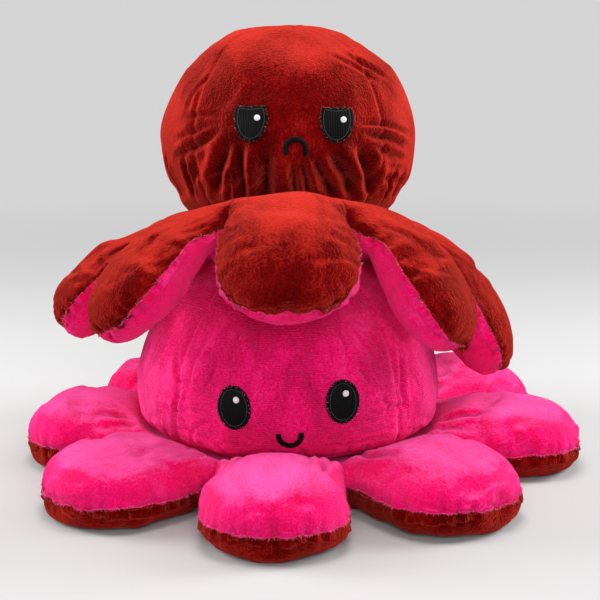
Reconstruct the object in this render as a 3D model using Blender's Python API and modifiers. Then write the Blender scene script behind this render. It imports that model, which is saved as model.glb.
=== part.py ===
"""Two reversible plush octopuses, one set down on the other.

The pink one stands pink side out and smiles; the red one sits on its head, red side out, and frowns.
Each is a head pouch sewn from four panels round a fibre filling, a lining pouch that turns inside out
to become the other head, and a stuffed skirt that ends in eight tentacles bending at its edge.
"""

import math
from types import SimpleNamespace

import bmesh
import bpy
from mathutils import Euler, Matrix, Vector

# Cloth, seams and clearances, in metres
SKIN = 0.0025
FIT_GAP = 0.0004
HINGE_GAP = 0.0009
PANEL_GAP = 0.0004
THREAD_HEIGHT = 0.0016
WELD_DISTANCE = 0.00001

# The neck, where the outer head, the lining and the skirt are sewn together
NECK_RADIUS = 0.056
LINING_RADIUS = 0.064

# The skirt, from the neck out to the edge where the tentacles bend
PINK_HINGE_RADIUS = 0.118
RED_HINGE_RADIUS = 0.101
HINGE_CLEARANCE = 0.004
PINK_SKIRT_TOP = 0.0080
PINK_SKIRT_SOLE = 0.0240
RED_SKIRT_TOP = 0.0110
RED_SKIRT_SOLE = 0.0055
RED_NECK_DROP = 0.034
RED_NECK_LAP = 0.0040
RED_NECK_EASE = 0.0020
RED_SIDES_HANG = 0.024

# The tentacles: how far a root ends short of halfway to the next one, and their half sizes
TENTACLE_LENGTH = 0.098
PINK_ROOT_SIDE_GAP = 0.0042
RED_ROOT_SIDE_GAP = 0.0022
ROOT_HALF_HEIGHT = 0.0195
TENTACLE_HALF_WIDTH = 0.0515
PINK_TOP_HEIGHT = 0.0345
PINK_SOLE_DEPTH = 0.0290
PINK_SEAM_HEIGHT = 0.0195
RED_TOP_HEIGHT = 0.0240
RED_SOLE_DEPTH = 0.0230

# The heads: the widest circle, its height over the bending edge, and how far each rises and falls from it
PINK_HEAD_RADIUS = 0.112
PINK_HEAD_LIFT = 0.040
PINK_HEAD_RISE = 0.113
RED_HEAD_RADIUS = 0.0940
RED_HEAD_LIFT = 0.050
RED_HEAD_RISE = 0.090
RED_HEAD_FALL = 0.072

# The pouch that the hand goes into
PINK_POUCH_HEIGHT = 0.104
RED_POUCH_HEIGHT = 0.088
POUCH_MOUTH_FLARE = 0.0012
RED_MOUTH_DRAWN_IN = 0.0040

# Faces, embroidered in satin stitch: each a little off its toy's middle and turned, as the sewing left it
SMILING_EYE_HALF_WIDTH = 0.0114
SMILING_EYE_HALF_HEIGHT = 0.0147
FROWNING_EYE_HALF_WIDTH = 0.0118
FROWNING_EYE_HALF_HEIGHT = 0.0165
PINK_EYE_SPREAD = 0.0374
RED_EYE_SPREAD = 0.0296
PINK_EYE_UP = 0.0570
RED_EYE_UP = 0.0650
PINK_MOUTH_UP = 0.0368
RED_MOUTH_UP = 0.0438
PINK_FACE_SHIFT = 0.0006
RED_FACE_SHIFT = 0.0043
PINK_FACE_ROLL = math.radians(3.0)
RED_FACE_ROLL = math.radians(-1.0)
HIDDEN_EYE_SPREAD = 0.0260
HIDDEN_EYE_OVER_NECK = 0.0660
HIDDEN_MOUTH_OVER_NECK = 0.0460
SMILE_RADIUS = 0.0078
SMILE_ENDS = 0.0018
FROWN_RADIUS = 0.0068
FROWN_ENDS = 0.0042
MOUTH_STROKE = 0.0035
FROWN_LID_SHARE = 0.50
FROWN_SLANT_SHARE = 0.02

# How the red one sits on the pink one
SEAT_GAP = 0.0010
RED_LEANS_BACK = math.radians(10.0)
STACK_AXIS_X = -0.0102
STACK_AXIS_Y = -0.0018

# Mesh fineness
HEAD_COLUMNS = 24
HEAD_ROWS = 14
TURN_STEPS = 32
TENTACLE_COLUMNS = 12
TENTACLE_ROWS = 12
OVERRUN = 0.020

# Each tentacle: where its root points (degrees from the front, to the right in the front view), its length
# and width as shares of the full ones, how steeply it hangs, how far its tip swings sideways, and how far it
# rolls over (degrees)
PINK_TENTACLES = {
    "front": (-3.0, 0.95, 0.99, 0.0, 0.0, 0.0),
    "front_right": (42.0, 0.94, 0.99, 0.0, 2.0, 0.0),
    "right": (88.5, 1.05, 0.92, 0.0, 0.0, 0.0),
    "back_right": (132.0, 1.16, 0.92, 0.0, -12.0, 0.0),
    "back": (176.0, 0.97, 0.94, 0.0, 0.0, 0.0),
    "back_left": (221.5, 0.80, 0.90, 0.0, 5.0, 0.0),
    "left": (266.0, 0.81, 0.92, 0.0, 0.0, 0.0),
    "front_left": (312.0, 0.93, 0.97, 0.0, -3.0, 0.0),
}
RED_TENTACLES = {
    "front": (0.0, 0.94, 0.95, -43.0, 0.0, 0.0),
    "front_right": (45.0, 1.00, 0.82, -50.0, 6.0, -24.0),
    "right": (90.0, 1.10, 0.84, -56.0, 0.0, -8.0),
    "back_right": (135.0, 1.04, 0.90, -50.0, 0.0, 0.0),
    "back": (180.0, 1.00, 0.90, -44.0, 0.0, 0.0),
    "back_left": (225.0, 1.04, 0.90, -44.0, 0.0, 0.0),
    "left": (270.0, 0.92, 0.82, -40.0, 0.0, 8.0),
    "front_left": (315.0, 1.00, 0.84, -42.0, -6.0, 20.0),
}
ROOT_SWELL_SHARE = 0.52
ROLLED_SHARE = 0.30
SLOPE_OF_DROOP = math.radians(10)

COLLECTION = "plush_octopus"


def clear_scene():
    for old in list(bpy.data.objects):
        bpy.data.objects.remove(old, do_unlink=True)


def new_collection(name):
    made = bpy.data.collections.new(name)
    bpy.context.scene.collection.children.link(made)
    return made


def new_material(name, colour, roughness):
    """A matte cloth or thread finish."""
    made = bpy.data.materials.new(name)
    made.use_nodes = True
    shader = made.node_tree.nodes["Principled BSDF"]
    shader.inputs["Base Color"].default_value = (*colour, 1.0)
    shader.inputs["Roughness"].default_value = roughness
    shader.inputs["Metallic"].default_value = 0.0
    return made


def add_object(name, mesh, material, parent, collection):
    """A mesh object with one material, parented where its local frame is."""
    made = bpy.data.objects.new(name, mesh)
    mesh.materials.append(material)
    collection.objects.link(made)
    made.parent = parent
    return made


def mesh_from(bm, name):
    """A mesh of the closed surface, with its faces pointing out."""
    bm.normal_update()
    bmesh.ops.recalc_face_normals(bm, faces=bm.faces)
    mesh = bpy.data.meshes.new(name)
    bm.to_mesh(mesh)
    bm.free()
    return mesh


def solid_mesh_of(made):
    """The object's mesh with its modifiers applied, welded."""
    bpy.context.view_layer.update()
    graph = bpy.context.evaluated_depsgraph_get()
    mesh = bpy.data.meshes.new_from_object(made.evaluated_get(graph))
    bm = bmesh.new()
    bm.from_mesh(mesh)
    bmesh.ops.remove_doubles(bm, verts=bm.verts, dist=WELD_DISTANCE)
    bm.to_mesh(mesh)
    bm.free()
    return mesh


def cut(made, cutter, operation="DIFFERENCE"):
    modifier = made.modifiers.new(cutter.name, "BOOLEAN")
    modifier.operation = operation
    modifier.object = cutter
    modifier.solver = "EXACT"


def as_cutter(made):
    made.hide_render = True
    made.display_type = "WIRE"
    return made


def turned_mesh(name, outline):
    """A mesh of the outline's edges, for a Screw modifier, running down its outer side.

    The outline is a list of (radius, height) points. One that starts and ends on the axis stays open there.
    """
    pairs = list(zip(outline, outline[1:] + outline[:1]))
    area = sum(here[0] * there[1] - there[0] * here[1] for here, there in pairs)
    if area > 0.0:
        outline = outline[::-1]
    bm = bmesh.new()
    points = [bm.verts.new((radius, 0.0, height)) for radius, height in outline]
    for here, there in zip(points, points[1:]):
        bm.edges.new((here, there))
    if outline[0][0] > 0.0 or outline[-1][0] > 0.0:
        bm.edges.new((points[-1], points[0]))
    mesh = bpy.data.meshes.new(name)
    bm.to_mesh(mesh)
    bm.free()
    return mesh


def turned(name, outline, material, parent, collection, steps=TURN_STEPS):
    made = add_object(name, turned_mesh(name, outline), material, parent, collection)
    screw = made.modifiers.new("turn", "SCREW")
    screw.steps = steps
    screw.render_steps = steps
    screw.use_merge_vertices = True
    screw.merge_threshold = WELD_DISTANCE
    screw.use_smooth_shade = False
    return made


def offset_line(points, distance):
    """The line moved sideways, to the right of its direction where that is downwards, by distance."""
    moved = []
    for index, (radius, height) in enumerate(points):
        before = Vector(points[max(index - 1, 0)])
        after = Vector(points[min(index + 1, len(points) - 1)])
        along = (after - before).normalized()
        side = Vector((-along.y, along.x))
        if radius == 0.0:
            side = Vector((0.0, 1.0))
        moved.append((radius + side.x * distance, height + side.y * distance))
    return moved


def superellipse(angle, power):
    """(cosine, sine) of a superellipse: power 2 is a circle, and more is squarer."""
    cosine, sine = math.cos(angle), math.sin(angle)
    share = 2.0 / power
    return math.copysign(abs(cosine) ** share, cosine), math.copysign(abs(sine) ** share, sine)


def head_point(toy, direction, grow):
    """The head's surface in a direction of the unit sphere, grown outwards by grow.

    Four panels make the head a little square in plan, with its seams at the corners.
    """
    azimuth = math.atan2(direction.y, direction.x)
    latitude = math.asin(max(-1.0, min(1.0, direction.z)))
    power = toy.crown_power if latitude > 0.0 else toy.base_power
    out, up = superellipse(latitude, power)
    plan = (abs(math.cos(azimuth)) ** toy.plan_power + abs(math.sin(azimuth)) ** toy.plan_power) ** (
        -1.0 / toy.plan_power
    )
    reach = toy.head_rise if latitude > 0.0 else toy.head_fall
    radius = (toy.head_radius * (1.0 + (plan - 1.0) * out) + grow) * out
    height = toy.head_lift + (reach + grow) * up
    return Vector((radius * math.cos(azimuth), radius * math.sin(azimuth), height))


def head_sphere(toy, grow):
    """The whole head as a closed mesh, starting from a UV sphere."""
    bm = bmesh.new()
    bmesh.ops.create_uvsphere(bm, u_segments=HEAD_COLUMNS, v_segments=HEAD_ROWS, radius=1.0)
    for vertex in bm.verts:
        vertex.co = head_point(toy, vertex.co.normalized(), grow)
    return bm


def head_panel(toy, name, facing, grow, thickness, cloth):
    """One of the four panels, as a shell: the part of the head that faces within 45 degrees of facing."""
    bm = bmesh.new()
    bmesh.ops.create_uvsphere(bm, u_segments=HEAD_COLUMNS, v_segments=HEAD_ROWS, radius=1.0)
    middle = Vector((math.sin(facing), -math.cos(facing), 0.0))
    lowest = -math.sin(math.pi * toy.panel_rows / HEAD_ROWS)
    outside = [
        face
        for face in bm.faces
        if face.calc_center_median().to_2d().normalized().dot(middle.to_2d()) < math.cos(math.pi / 4)
        or face.calc_center_median().z < lowest
    ]
    bmesh.ops.delete(bm, geom=outside, context="FACES")
    rim = [edge for edge in bm.edges if edge.is_boundary]
    outer = list(bm.verts)
    lining = bmesh.ops.duplicate(bm, geom=bm.verts[:] + bm.edges[:] + bm.faces[:])["vert_map"]
    for edge in rim:
        here, there = edge.verts
        bm.faces.new((here, there, lining[there], lining[here]))
    aside = middle * (PANEL_GAP / math.sqrt(2.0))
    for vertex in outer:
        direction = vertex.co.normalized()
        vertex.co = head_point(toy, direction, grow) + aside
        lining[vertex].co = head_point(toy, direction, grow - thickness) + aside
    return add_object(name, mesh_from(bm, name), cloth, toy.frame, toy.collection)


def pouch_line(toy):
    """The lining's inner side, from its crown down to the mouth."""
    middle = toy.pouch_top - LINING_RADIUS * toy.pouch_dome_share
    neck_wall = NECK_RADIUS - SKIN - toy.neck_ease
    mouth = (neck_wall + POUCH_MOUTH_FLARE, toy.mouth_height)
    points = []
    for step in range(toy.dome_steps + 1):
        angle = math.pi / 2 * (1.0 - step / toy.dome_steps)
        radius = LINING_RADIUS * math.cos(angle) if step else 0.0
        points.append((radius, middle + (toy.pouch_top - middle) * math.sin(angle)))
    for step in range(1, toy.dome_steps):
        share = step / (toy.dome_steps - 1)
        ease = (1.0 - math.cos(math.pi * share)) / 2
        radius = LINING_RADIUS + (neck_wall - LINING_RADIUS) * ease
        points.append((radius, middle + (toy.neck_height - middle) * share))
    points.append(mouth)
    return points


def build_head(toy):
    for side, facing in (("front", 0.0), ("right", math.pi / 2), ("back", math.pi), ("left", -math.pi / 2)):
        head_panel(toy, f"{toy.name}_head_{side}_panel", facing, 0.0, SKIN, toy.outer_cloth)

    inner = pouch_line(toy)
    outer = offset_line(inner, SKIN)
    turned(f"{toy.name}_head_lining", outer + inner[::-1], toy.inner_cloth, toy.frame, toy.collection, HEAD_COLUMNS)

    filling = add_object(
        f"{toy.name}_head_filling",
        mesh_from(head_sphere(toy, -SKIN - FIT_GAP), "filling"),
        toy.fibre,
        toy.frame,
        toy.collection,
    )
    hollow_line = offset_line(inner, SKIN + FIT_GAP)
    under = (hollow_line[-1][0], toy.head_lift - toy.head_fall - OVERRUN)
    hollow = turned(
        f"{toy.name}_pouch_cutter",
        hollow_line[:-1] + [(hollow_line[-2][0], under[1]), (0.0, under[1])],
        toy.fibre,
        toy.frame,
        toy.cutters,
        HEAD_COLUMNS,
    )
    cut(filling, as_cutter(hollow))


def skirt_line(toy, side):
    """The skirt's section from its outer edge in to the neck: its top (side 1), its sole (-1) or its seam (0).

    The seam runs out level to the edge and curves down to the neck, and the stuffing swells it between the two.
    """
    outer = toy.hinge_radius - HINGE_CLEARANCE
    inner = NECK_RADIUS + FIT_GAP + toy.neck_lap
    depth = toy.skirt_top if side > 0 else toy.skirt_sole
    points = []
    for step in range(toy.skirt_steps + 1):
        angle = math.pi * step / toy.skirt_steps
        inward = (1.0 - math.cos(angle)) / 2
        slope = toy.neck_drop * toy.neck_curl_power * inward ** (toy.neck_curl_power - 1.0)
        up = Vector((-slope, outer - inner)).normalized()
        swell = side * depth * math.sin(angle) ** toy.skirt_fullness_power
        radius = outer + (inner - outer) * inward + up.x * swell
        height = up.y * swell - toy.neck_drop * inward**toy.neck_curl_power
        points.append((radius, height if toy.floor is None else max(height, toy.floor)))
    return points


def edge_drop(toy, azimuth):
    """How far the skirt's edge hangs at an azimuth (radians): the sides hang under the front and the back."""
    return toy.sides_hang * (1.0 - math.cos(2.0 * azimuth)) / 2


def hung_skirt(toy, half):
    """Applies the turned half's modifier and lets its edge hang, less and less towards the neck."""
    mesh = solid_mesh_of(half)
    half.modifiers.clear()
    inner = NECK_RADIUS + FIT_GAP + toy.neck_lap
    for vertex in mesh.vertices:
        radius = math.hypot(vertex.co.x, vertex.co.y)
        outward = max(0.0, (radius - inner) / (toy.hinge_radius - inner))
        vertex.co.z -= edge_drop(toy, math.atan2(vertex.co.x, vertex.co.y)) * outward
    half.data = mesh


def lifted(points, rise, floor=None):
    """The points moved up by rise, but not under the floor."""
    return [(radius, height + rise if floor is None else max(height + rise, floor)) for radius, height in points]


def barrel_point(direction, half_width, half_height, fullness_power):
    """The unit sphere's point on a barrel that is turned round the Y axis: round across, and full along it."""
    ring = math.hypot(direction.x, direction.z)
    round_part, along = superellipse(math.asin(max(-1.0, min(1.0, direction.y))), fullness_power)
    stretch = half_height * round_part / ring if ring > 0.0 else 0.0
    return Vector((direction.x * stretch, half_width * along, direction.z * stretch))


def tentacle_sockets(toy):
    """What the tentacles' roots sweep as they bend: a barrel round each bending line, grown by the clearance."""
    sockets = bmesh.new()
    width, height = toy.root_half_width + HINGE_GAP, ROOT_HALF_HEIGHT + HINGE_GAP
    lying = Matrix.Rotation(math.pi / 2, 4, "X")
    for azimuth in (math.radians(plan[0]) for plan in toy.tentacles.values()):
        made = bmesh.ops.create_uvsphere(
            sockets, u_segments=TENTACLE_COLUMNS * 2, v_segments=TENTACLE_ROWS, radius=1.0, matrix=lying
        )
        out = Matrix.Translation((toy.hinge_radius, 0.0, -edge_drop(toy, azimuth)))
        place = Matrix.Rotation(azimuth - math.pi / 2, 4, "Z") @ out
        for vertex in made["verts"]:
            vertex.co = place @ barrel_point(vertex.co.normalized(), width, height, toy.cushion_power)
    mesh = mesh_from(sockets, "sockets")
    return as_cutter(add_object(f"{toy.name}_socket_cutter", mesh, toy.fibre, toy.frame, toy.cutters))


def build_skirt(toy):
    """The stuffed ring between the neck and the tentacles, in two halves that meet at the seam."""
    seam = skirt_line(toy, 0)
    upper = skirt_line(toy, 1) + seam[-2:0:-1]
    lower = skirt_line(toy, -1) + seam[-2:0:-1]
    halves = (
        (f"{toy.name}_skirt_top", lifted(upper, FIT_GAP / 2), toy.outer_cloth),
        (f"{toy.name}_skirt_sole", lifted(lower, -FIT_GAP / 2, toy.floor), toy.inner_cloth),
    )
    sockets = tentacle_sockets(toy)
    head = as_cutter(
        add_object(
            f"{toy.name}_head_cutter",
            mesh_from(head_sphere(toy, 2.0 * FIT_GAP), "head_cutter"),
            toy.fibre,
            toy.frame,
            toy.cutters,
        )
    )
    for name, line, cloth in halves:
        half = turned(name, line, cloth, toy.frame, toy.collection, TURN_STEPS)
        hung_skirt(toy, half)
        cut(half, sockets)
        if toy.skirt_meets_head:
            cut(half, head)


def tentacle_half_sizes(toy, share, width_share):
    """Half width, height over the seam and depth under it, at a share of the length from the bend to the tip."""
    swell = math.sin(math.pi / 2 * min(1.0, share / ROOT_SWELL_SHARE))
    past = max(0.0, share - ROOT_SWELL_SHARE) / (1.0 - ROOT_SWELL_SHARE)
    tip = max(0.0, 1.0 - past**toy.tip_power) ** (1.0 / toy.tip_power)
    width = toy.root_half_width + (TENTACLE_HALF_WIDTH * width_share - toy.root_half_width) * swell
    top = ROOT_HALF_HEIGHT + (toy.top_height - ROOT_HALF_HEIGHT) * swell
    sole = ROOT_HALF_HEIGHT + (toy.sole_depth - ROOT_HALF_HEIGHT) * swell
    return width * tip, top * tip, sole * tip


def tentacle_spine(toy, share, length, hang):
    """(reach, height) of the tentacle's middle line, which droops a little more towards the tip."""
    angle = hang - toy.droop * share / 2
    return length * share * math.cos(angle), length * share * math.sin(angle)


def tentacle_point(toy, direction, plan):
    """Maps the unit sphere, with its poles along X, onto a tentacle that runs out along X from its bending line.

    Inwards of that line it is the barrel that stays in its socket as it bends, and outwards it swells and tapers.
    """
    azimuth, length_share, width_share, hang_degrees, swing, roll_degrees = plan
    hang = math.radians(hang_degrees)
    length = TENTACLE_LENGTH * length_share
    if direction.x <= 0.0:
        point = barrel_point(direction, toy.root_half_width, ROOT_HALF_HEIGHT, toy.cushion_power)
        point.rotate(Matrix.Rotation(-hang, 3, "Y"))
    else:
        share = 1.0 - (1.0 - math.asin(min(1.0, direction.x)) / (math.pi / 2)) ** toy.row_spacing_power
        width, top, sole = tentacle_half_sizes(toy, share, width_share)
        reach, height = tentacle_spine(toy, share, length, hang)
        out, up = superellipse(math.atan2(direction.z, direction.y), toy.cushion_power)
        section = Vector((width * out, up * (top if up > 0.0 else sole)))
        roll = math.radians(roll_degrees) * math.sin(math.pi / 2 * min(1.0, share / ROLLED_SHARE))
        section.rotate(Matrix.Rotation(roll, 2))
        tilt = hang - toy.droop * share
        aside = section.x + reach * share * math.tan(math.radians(swing))
        point = Vector((reach - section.y * math.sin(tilt), aside, height + section.y * math.cos(tilt)))
    point.x += toy.hinge_radius
    point.z -= edge_drop(toy, math.radians(azimuth))
    if toy.floor is not None:
        point.z = max(point.z, toy.floor)
    point.rotate(Matrix.Rotation(math.radians(azimuth) - math.pi / 2, 3, "Z"))
    return point


def tentacle_half(toy, name, plan, side, cloth):
    """The half of a tentacle over the seam (side 1) or under it (side -1), with its filling."""
    bm = bmesh.new()
    bmesh.ops.create_uvsphere(bm, u_segments=TENTACLE_COLUMNS, v_segments=TENTACLE_ROWS, radius=1.0)
    bmesh.ops.rotate(bm, matrix=Matrix.Rotation(math.pi / 2, 3, "Y"), verts=bm.verts)
    other = [face for face in bm.faces if face.calc_center_median().z * side < 0.0]
    bmesh.ops.delete(bm, geom=other, context="FACES")
    for vertex in bm.verts:
        vertex.co = tentacle_point(toy, vertex.co.normalized(), plan)
        vertex.co.z += side * FIT_GAP / 2
        if toy.floor is not None:
            vertex.co.z = max(vertex.co.z, toy.floor)
    rim = [edge for edge in bm.edges if edge.is_boundary]
    bmesh.ops.holes_fill(bm, edges=rim, sides=0)
    seam = [face for face in bm.faces if len(face.verts) > 4]
    bmesh.ops.triangulate(bm, faces=seam)
    return add_object(name, mesh_from(bm, name), cloth, toy.frame, toy.collection)


def build_tentacles(toy):
    for side, plan in toy.tentacles.items():
        tentacle_half(toy, f"{toy.name}_tentacle_{side}_top", plan, 1, toy.outer_cloth)
        tentacle_half(toy, f"{toy.name}_tentacle_{side}_sole", plan, -1, toy.inner_cloth)


def outline_cutter(toy, name, outline, near, far):
    """A prism of a flat outline of (x, height) points, between two distances in front of the toy's axis."""
    curve = bpy.data.curves.new(name, "CURVE")
    curve.dimensions = "2D"
    curve.fill_mode = "BOTH"
    curve.extrude = (far - near) / 2
    spline = curve.splines.new("POLY")
    spline.points.add(len(outline) - 1)
    for point, (across, height) in zip(spline.points, outline):
        point.co = (across, height, 0.0, 1.0)
    spline.use_cyclic_u = True
    flat = bpy.data.objects.new(name, curve)
    toy.cutters.objects.link(flat)
    mesh = solid_mesh_of(flat)
    bpy.data.objects.remove(flat, do_unlink=True)
    standing = Matrix.Rotation(math.pi / 2, 4, "X")
    mesh.transform(Matrix.Translation((0.0, -(near + far) / 2, 0.0)) @ standing)
    return as_cutter(add_object(name, mesh, toy.thread, toy.frame, toy.cutters))


def eye_outline(mood, across, height, half_width, half_height, points=20):
    """A round eye when smiling. When frowning, its top is cut straight and slants down to the nose."""
    outline = []
    for step in range(points):
        angle = 2 * math.pi * step / points
        right, up = half_width * math.cos(angle), half_height * math.sin(angle)
        if mood == "frown":
            lid = half_height * (FROWN_LID_SHARE + FROWN_SLANT_SHARE * right / half_width)
            up = min(up, lid)
        outline.append((across + right, height + up))
    return outline


def mouth_outline(mood, height, steps=10):
    """A half ring with straight ends, open upwards in a smile and downwards in a frown."""
    way, radius, ends = (-1.0, SMILE_RADIUS, SMILE_ENDS) if mood == "smile" else (1.0, FROWN_RADIUS, FROWN_ENDS)
    angles = [math.pi * step / steps for step in range(steps + 1)]
    outline = []
    for line, turns in ((radius + MOUTH_STROKE / 2, angles), (radius - MOUTH_STROKE / 2, angles[::-1])):
        arc = [(line * math.cos(turn), line * math.sin(turn)) for turn in turns]
        outline += [(arc[0][0], -ends), *arc, (arc[-1][0], -ends)]
    return [(across, height + way * up) for across, up in outline]


def face_pieces(mood, spread, eye_up, mouth_up):
    """(piece name, outline) of the two eyes and the mouth, about the face's own middle line."""
    if mood == "smile":
        eye = (SMILING_EYE_HALF_WIDTH, SMILING_EYE_HALF_HEIGHT)
    else:
        eye = (FROWNING_EYE_HALF_WIDTH, FROWNING_EYE_HALF_HEIGHT)
    return (
        ("left_eye", eye_outline(mood, -spread, eye_up, *eye)),
        ("right_eye", eye_outline(mood, spread, eye_up, *eye)),
        ("mouth", mouth_outline(mood, mouth_up)),
    )


def set_askew(outline, shift, roll, middle):
    """The outline turned by roll round the height between the eyes and moved sideways by shift."""
    return [
        (
            shift + across * math.cos(roll) - (height - middle) * math.sin(roll),
            middle + across * math.sin(roll) + (height - middle) * math.cos(roll),
        )
        for across, height in outline
    ]


def build_face(toy):
    """The outer face, as stitching that stands on the front panel."""
    for part, outline in face_pieces(toy.mood, toy.eye_spread, toy.eye_up, toy.mouth_up):
        name = f"{toy.name}_{part}"
        placed = set_askew(outline, toy.face_shift, toy.face_roll, toy.eye_up)
        patch = head_panel(toy, name, 0.0, FIT_GAP + THREAD_HEIGHT, THREAD_HEIGHT, toy.thread)
        prism = outline_cutter(toy, f"{name}_cutter", placed, 0.0, toy.head_radius + OVERRUN)
        cut(patch, prism, "INTERSECT")


def build_hidden_face(toy):
    """The other face, stitched on the pouch's lining, which shows when the toy is turned inside out."""
    inner = pouch_line(toy)
    wall = offset_line(inner, -FIT_GAP)
    crest = offset_line(inner, -FIT_GAP - THREAD_HEIGHT)
    eye_up = toy.neck_height + HIDDEN_EYE_OVER_NECK
    mouth_up = toy.neck_height + HIDDEN_MOUTH_OVER_NECK
    pieces = face_pieces(toy.hidden_mood, HIDDEN_EYE_SPREAD, eye_up, mouth_up)
    for part, outline in pieces:
        name = f"{toy.name}_hidden_{part}"
        patch = turned(name, wall + crest[::-1], toy.thread, toy.frame, toy.collection, HEAD_COLUMNS)
        prism = outline_cutter(toy, f"{name}_cutter", outline, 0.0, LINING_RADIUS + OVERRUN)
        cut(patch, prism, "INTERSECT")


def new_frame(name, location, rotation, collection):
    made = bpy.data.objects.new(name, None)
    collection.objects.link(made)
    made.location = location
    made.rotation_euler = rotation
    return made


def build(toy):
    build_head(toy)
    build_skirt(toy)
    build_tentacles(toy)
    build_face(toy)
    build_hidden_face(toy)


def crown_height(toy, radius):
    """How high the head's top stands over its widest circle at a seam, at a distance from the axis."""
    corner = 2.0 ** (0.5 - 1.0 / toy.plan_power) - 1.0
    out = (math.sqrt(1.0 + 4.0 * corner * radius / toy.head_radius) - 1.0) / (2.0 * corner)
    return toy.head_rise * math.sqrt(max(0.0, 1.0 - out * out))


def seat_reach(under, upper):
    """How far the upper toy's bending edge stands from the lower head's centre when it rests there."""
    resting = [pouch_line(upper)[-1], *skirt_line(upper, -1)]
    return SEAT_GAP + max(crown_height(under, radius) - height for radius, height in resting)


def main():
    clear_scene()
    parts = new_collection(COLLECTION)
    cutters = new_collection("cutters")
    pink = new_material("pink_velour", (0.86, 0.005, 0.17), 0.85)
    red = new_material("red_velour", (0.36, 0.004, 0.004), 0.85)
    thread = new_material("black_thread", (0.006, 0.006, 0.007), 0.55)
    fibre = new_material("fibre_filling", (0.80, 0.80, 0.78), 0.95)

    shared = dict(
        collection=parts,
        cutters=cutters,
        thread=thread,
        fibre=fibre,
        plan_power=2.12,
        dome_steps=5,
        skirt_steps=8,
        skirt_fullness_power=0.75,
        pouch_dome_share=0.75,
        row_spacing_power=1.6,
        cushion_power=2.2,
        neck_curl_power=1.9,
    )
    pink_toy = SimpleNamespace(
        name="pink",
        frame=new_frame(
            "pink_frame", (STACK_AXIS_X, STACK_AXIS_Y, PINK_SEAM_HEIGHT), (0.0, 0.0, 0.0), parts
        ),
        outer_cloth=pink,
        inner_cloth=red,
        mood="smile",
        hidden_mood="frown",
        tentacles=PINK_TENTACLES,
        floor=-PINK_SEAM_HEIGHT,
        root_half_width=PINK_HINGE_RADIUS * math.sin(math.pi / len(PINK_TENTACLES)) - PINK_ROOT_SIDE_GAP,
        hinge_radius=PINK_HINGE_RADIUS,
        neck_drop=0.0,
        neck_lap=0.0,
        neck_ease=0.0,
        sides_hang=0.0,
        neck_height=0.0,
        skirt_top=PINK_SKIRT_TOP,
        skirt_sole=PINK_SKIRT_SOLE,
        skirt_meets_head=False,
        top_height=PINK_TOP_HEIGHT,
        sole_depth=PINK_SOLE_DEPTH,
        tip_power=2.2,
        droop=0.0,
        head_radius=PINK_HEAD_RADIUS,
        head_lift=PINK_HEAD_LIFT,
        head_rise=PINK_HEAD_RISE,
        head_fall=PINK_HEAD_LIFT - PINK_SKIRT_TOP - 2.0 * FIT_GAP,
        crown_power=2.0,
        base_power=4.0,
        panel_rows=5,
        pouch_top=PINK_POUCH_HEIGHT,
        mouth_height=-PINK_SEAM_HEIGHT / 2,
        eye_spread=PINK_EYE_SPREAD,
        eye_up=PINK_EYE_UP,
        mouth_up=PINK_MOUTH_UP,
        face_shift=PINK_FACE_SHIFT,
        face_roll=PINK_FACE_ROLL,
        **shared,
    )
    red_toy = SimpleNamespace(
        name="red",
        outer_cloth=red,
        inner_cloth=pink,
        mood="frown",
        hidden_mood="smile",
        tentacles=RED_TENTACLES,
        floor=None,
        root_half_width=RED_HINGE_RADIUS * math.sin(math.pi / len(RED_TENTACLES)) - RED_ROOT_SIDE_GAP,
        hinge_radius=RED_HINGE_RADIUS,
        neck_drop=RED_NECK_DROP,
        neck_lap=RED_NECK_LAP,
        neck_ease=RED_NECK_EASE,
        sides_hang=RED_SIDES_HANG,
        neck_height=-RED_NECK_DROP + 2.0 * RED_MOUTH_DRAWN_IN,
        skirt_top=RED_SKIRT_TOP,
        skirt_sole=RED_SKIRT_SOLE,
        skirt_meets_head=True,
        top_height=RED_TOP_HEIGHT,
        sole_depth=RED_SOLE_DEPTH,
        tip_power=2.6,
        droop=SLOPE_OF_DROOP,
        head_radius=RED_HEAD_RADIUS,
        head_lift=RED_HEAD_LIFT,
        head_rise=RED_HEAD_RISE,
        head_fall=RED_HEAD_FALL,
        crown_power=2.15,
        base_power=2.1,
        panel_rows=4,
        pouch_top=RED_POUCH_HEIGHT,
        mouth_height=-RED_NECK_DROP + RED_MOUTH_DRAWN_IN,
        eye_spread=RED_EYE_SPREAD,
        eye_up=RED_EYE_UP,
        mouth_up=RED_MOUTH_UP,
        face_shift=RED_FACE_SHIFT,
        face_roll=RED_FACE_ROLL,
        **shared,
    )
    lean = Euler((-RED_LEANS_BACK, 0.0, 0.0))
    seat = Vector((STACK_AXIS_X, STACK_AXIS_Y, PINK_SEAM_HEIGHT + PINK_HEAD_LIFT))
    seat += lean.to_matrix() @ Vector((0.0, 0.0, seat_reach(pink_toy, red_toy)))
    red_toy.frame = new_frame("red_frame", seat, lean, parts)
    build(pink_toy)
    build(red_toy)


main()
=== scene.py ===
import math

import bmesh
import bpy
import numpy as np
from mathutils import Euler, Matrix, Vector
from mathutils.bvhtree import BVHTree


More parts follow.
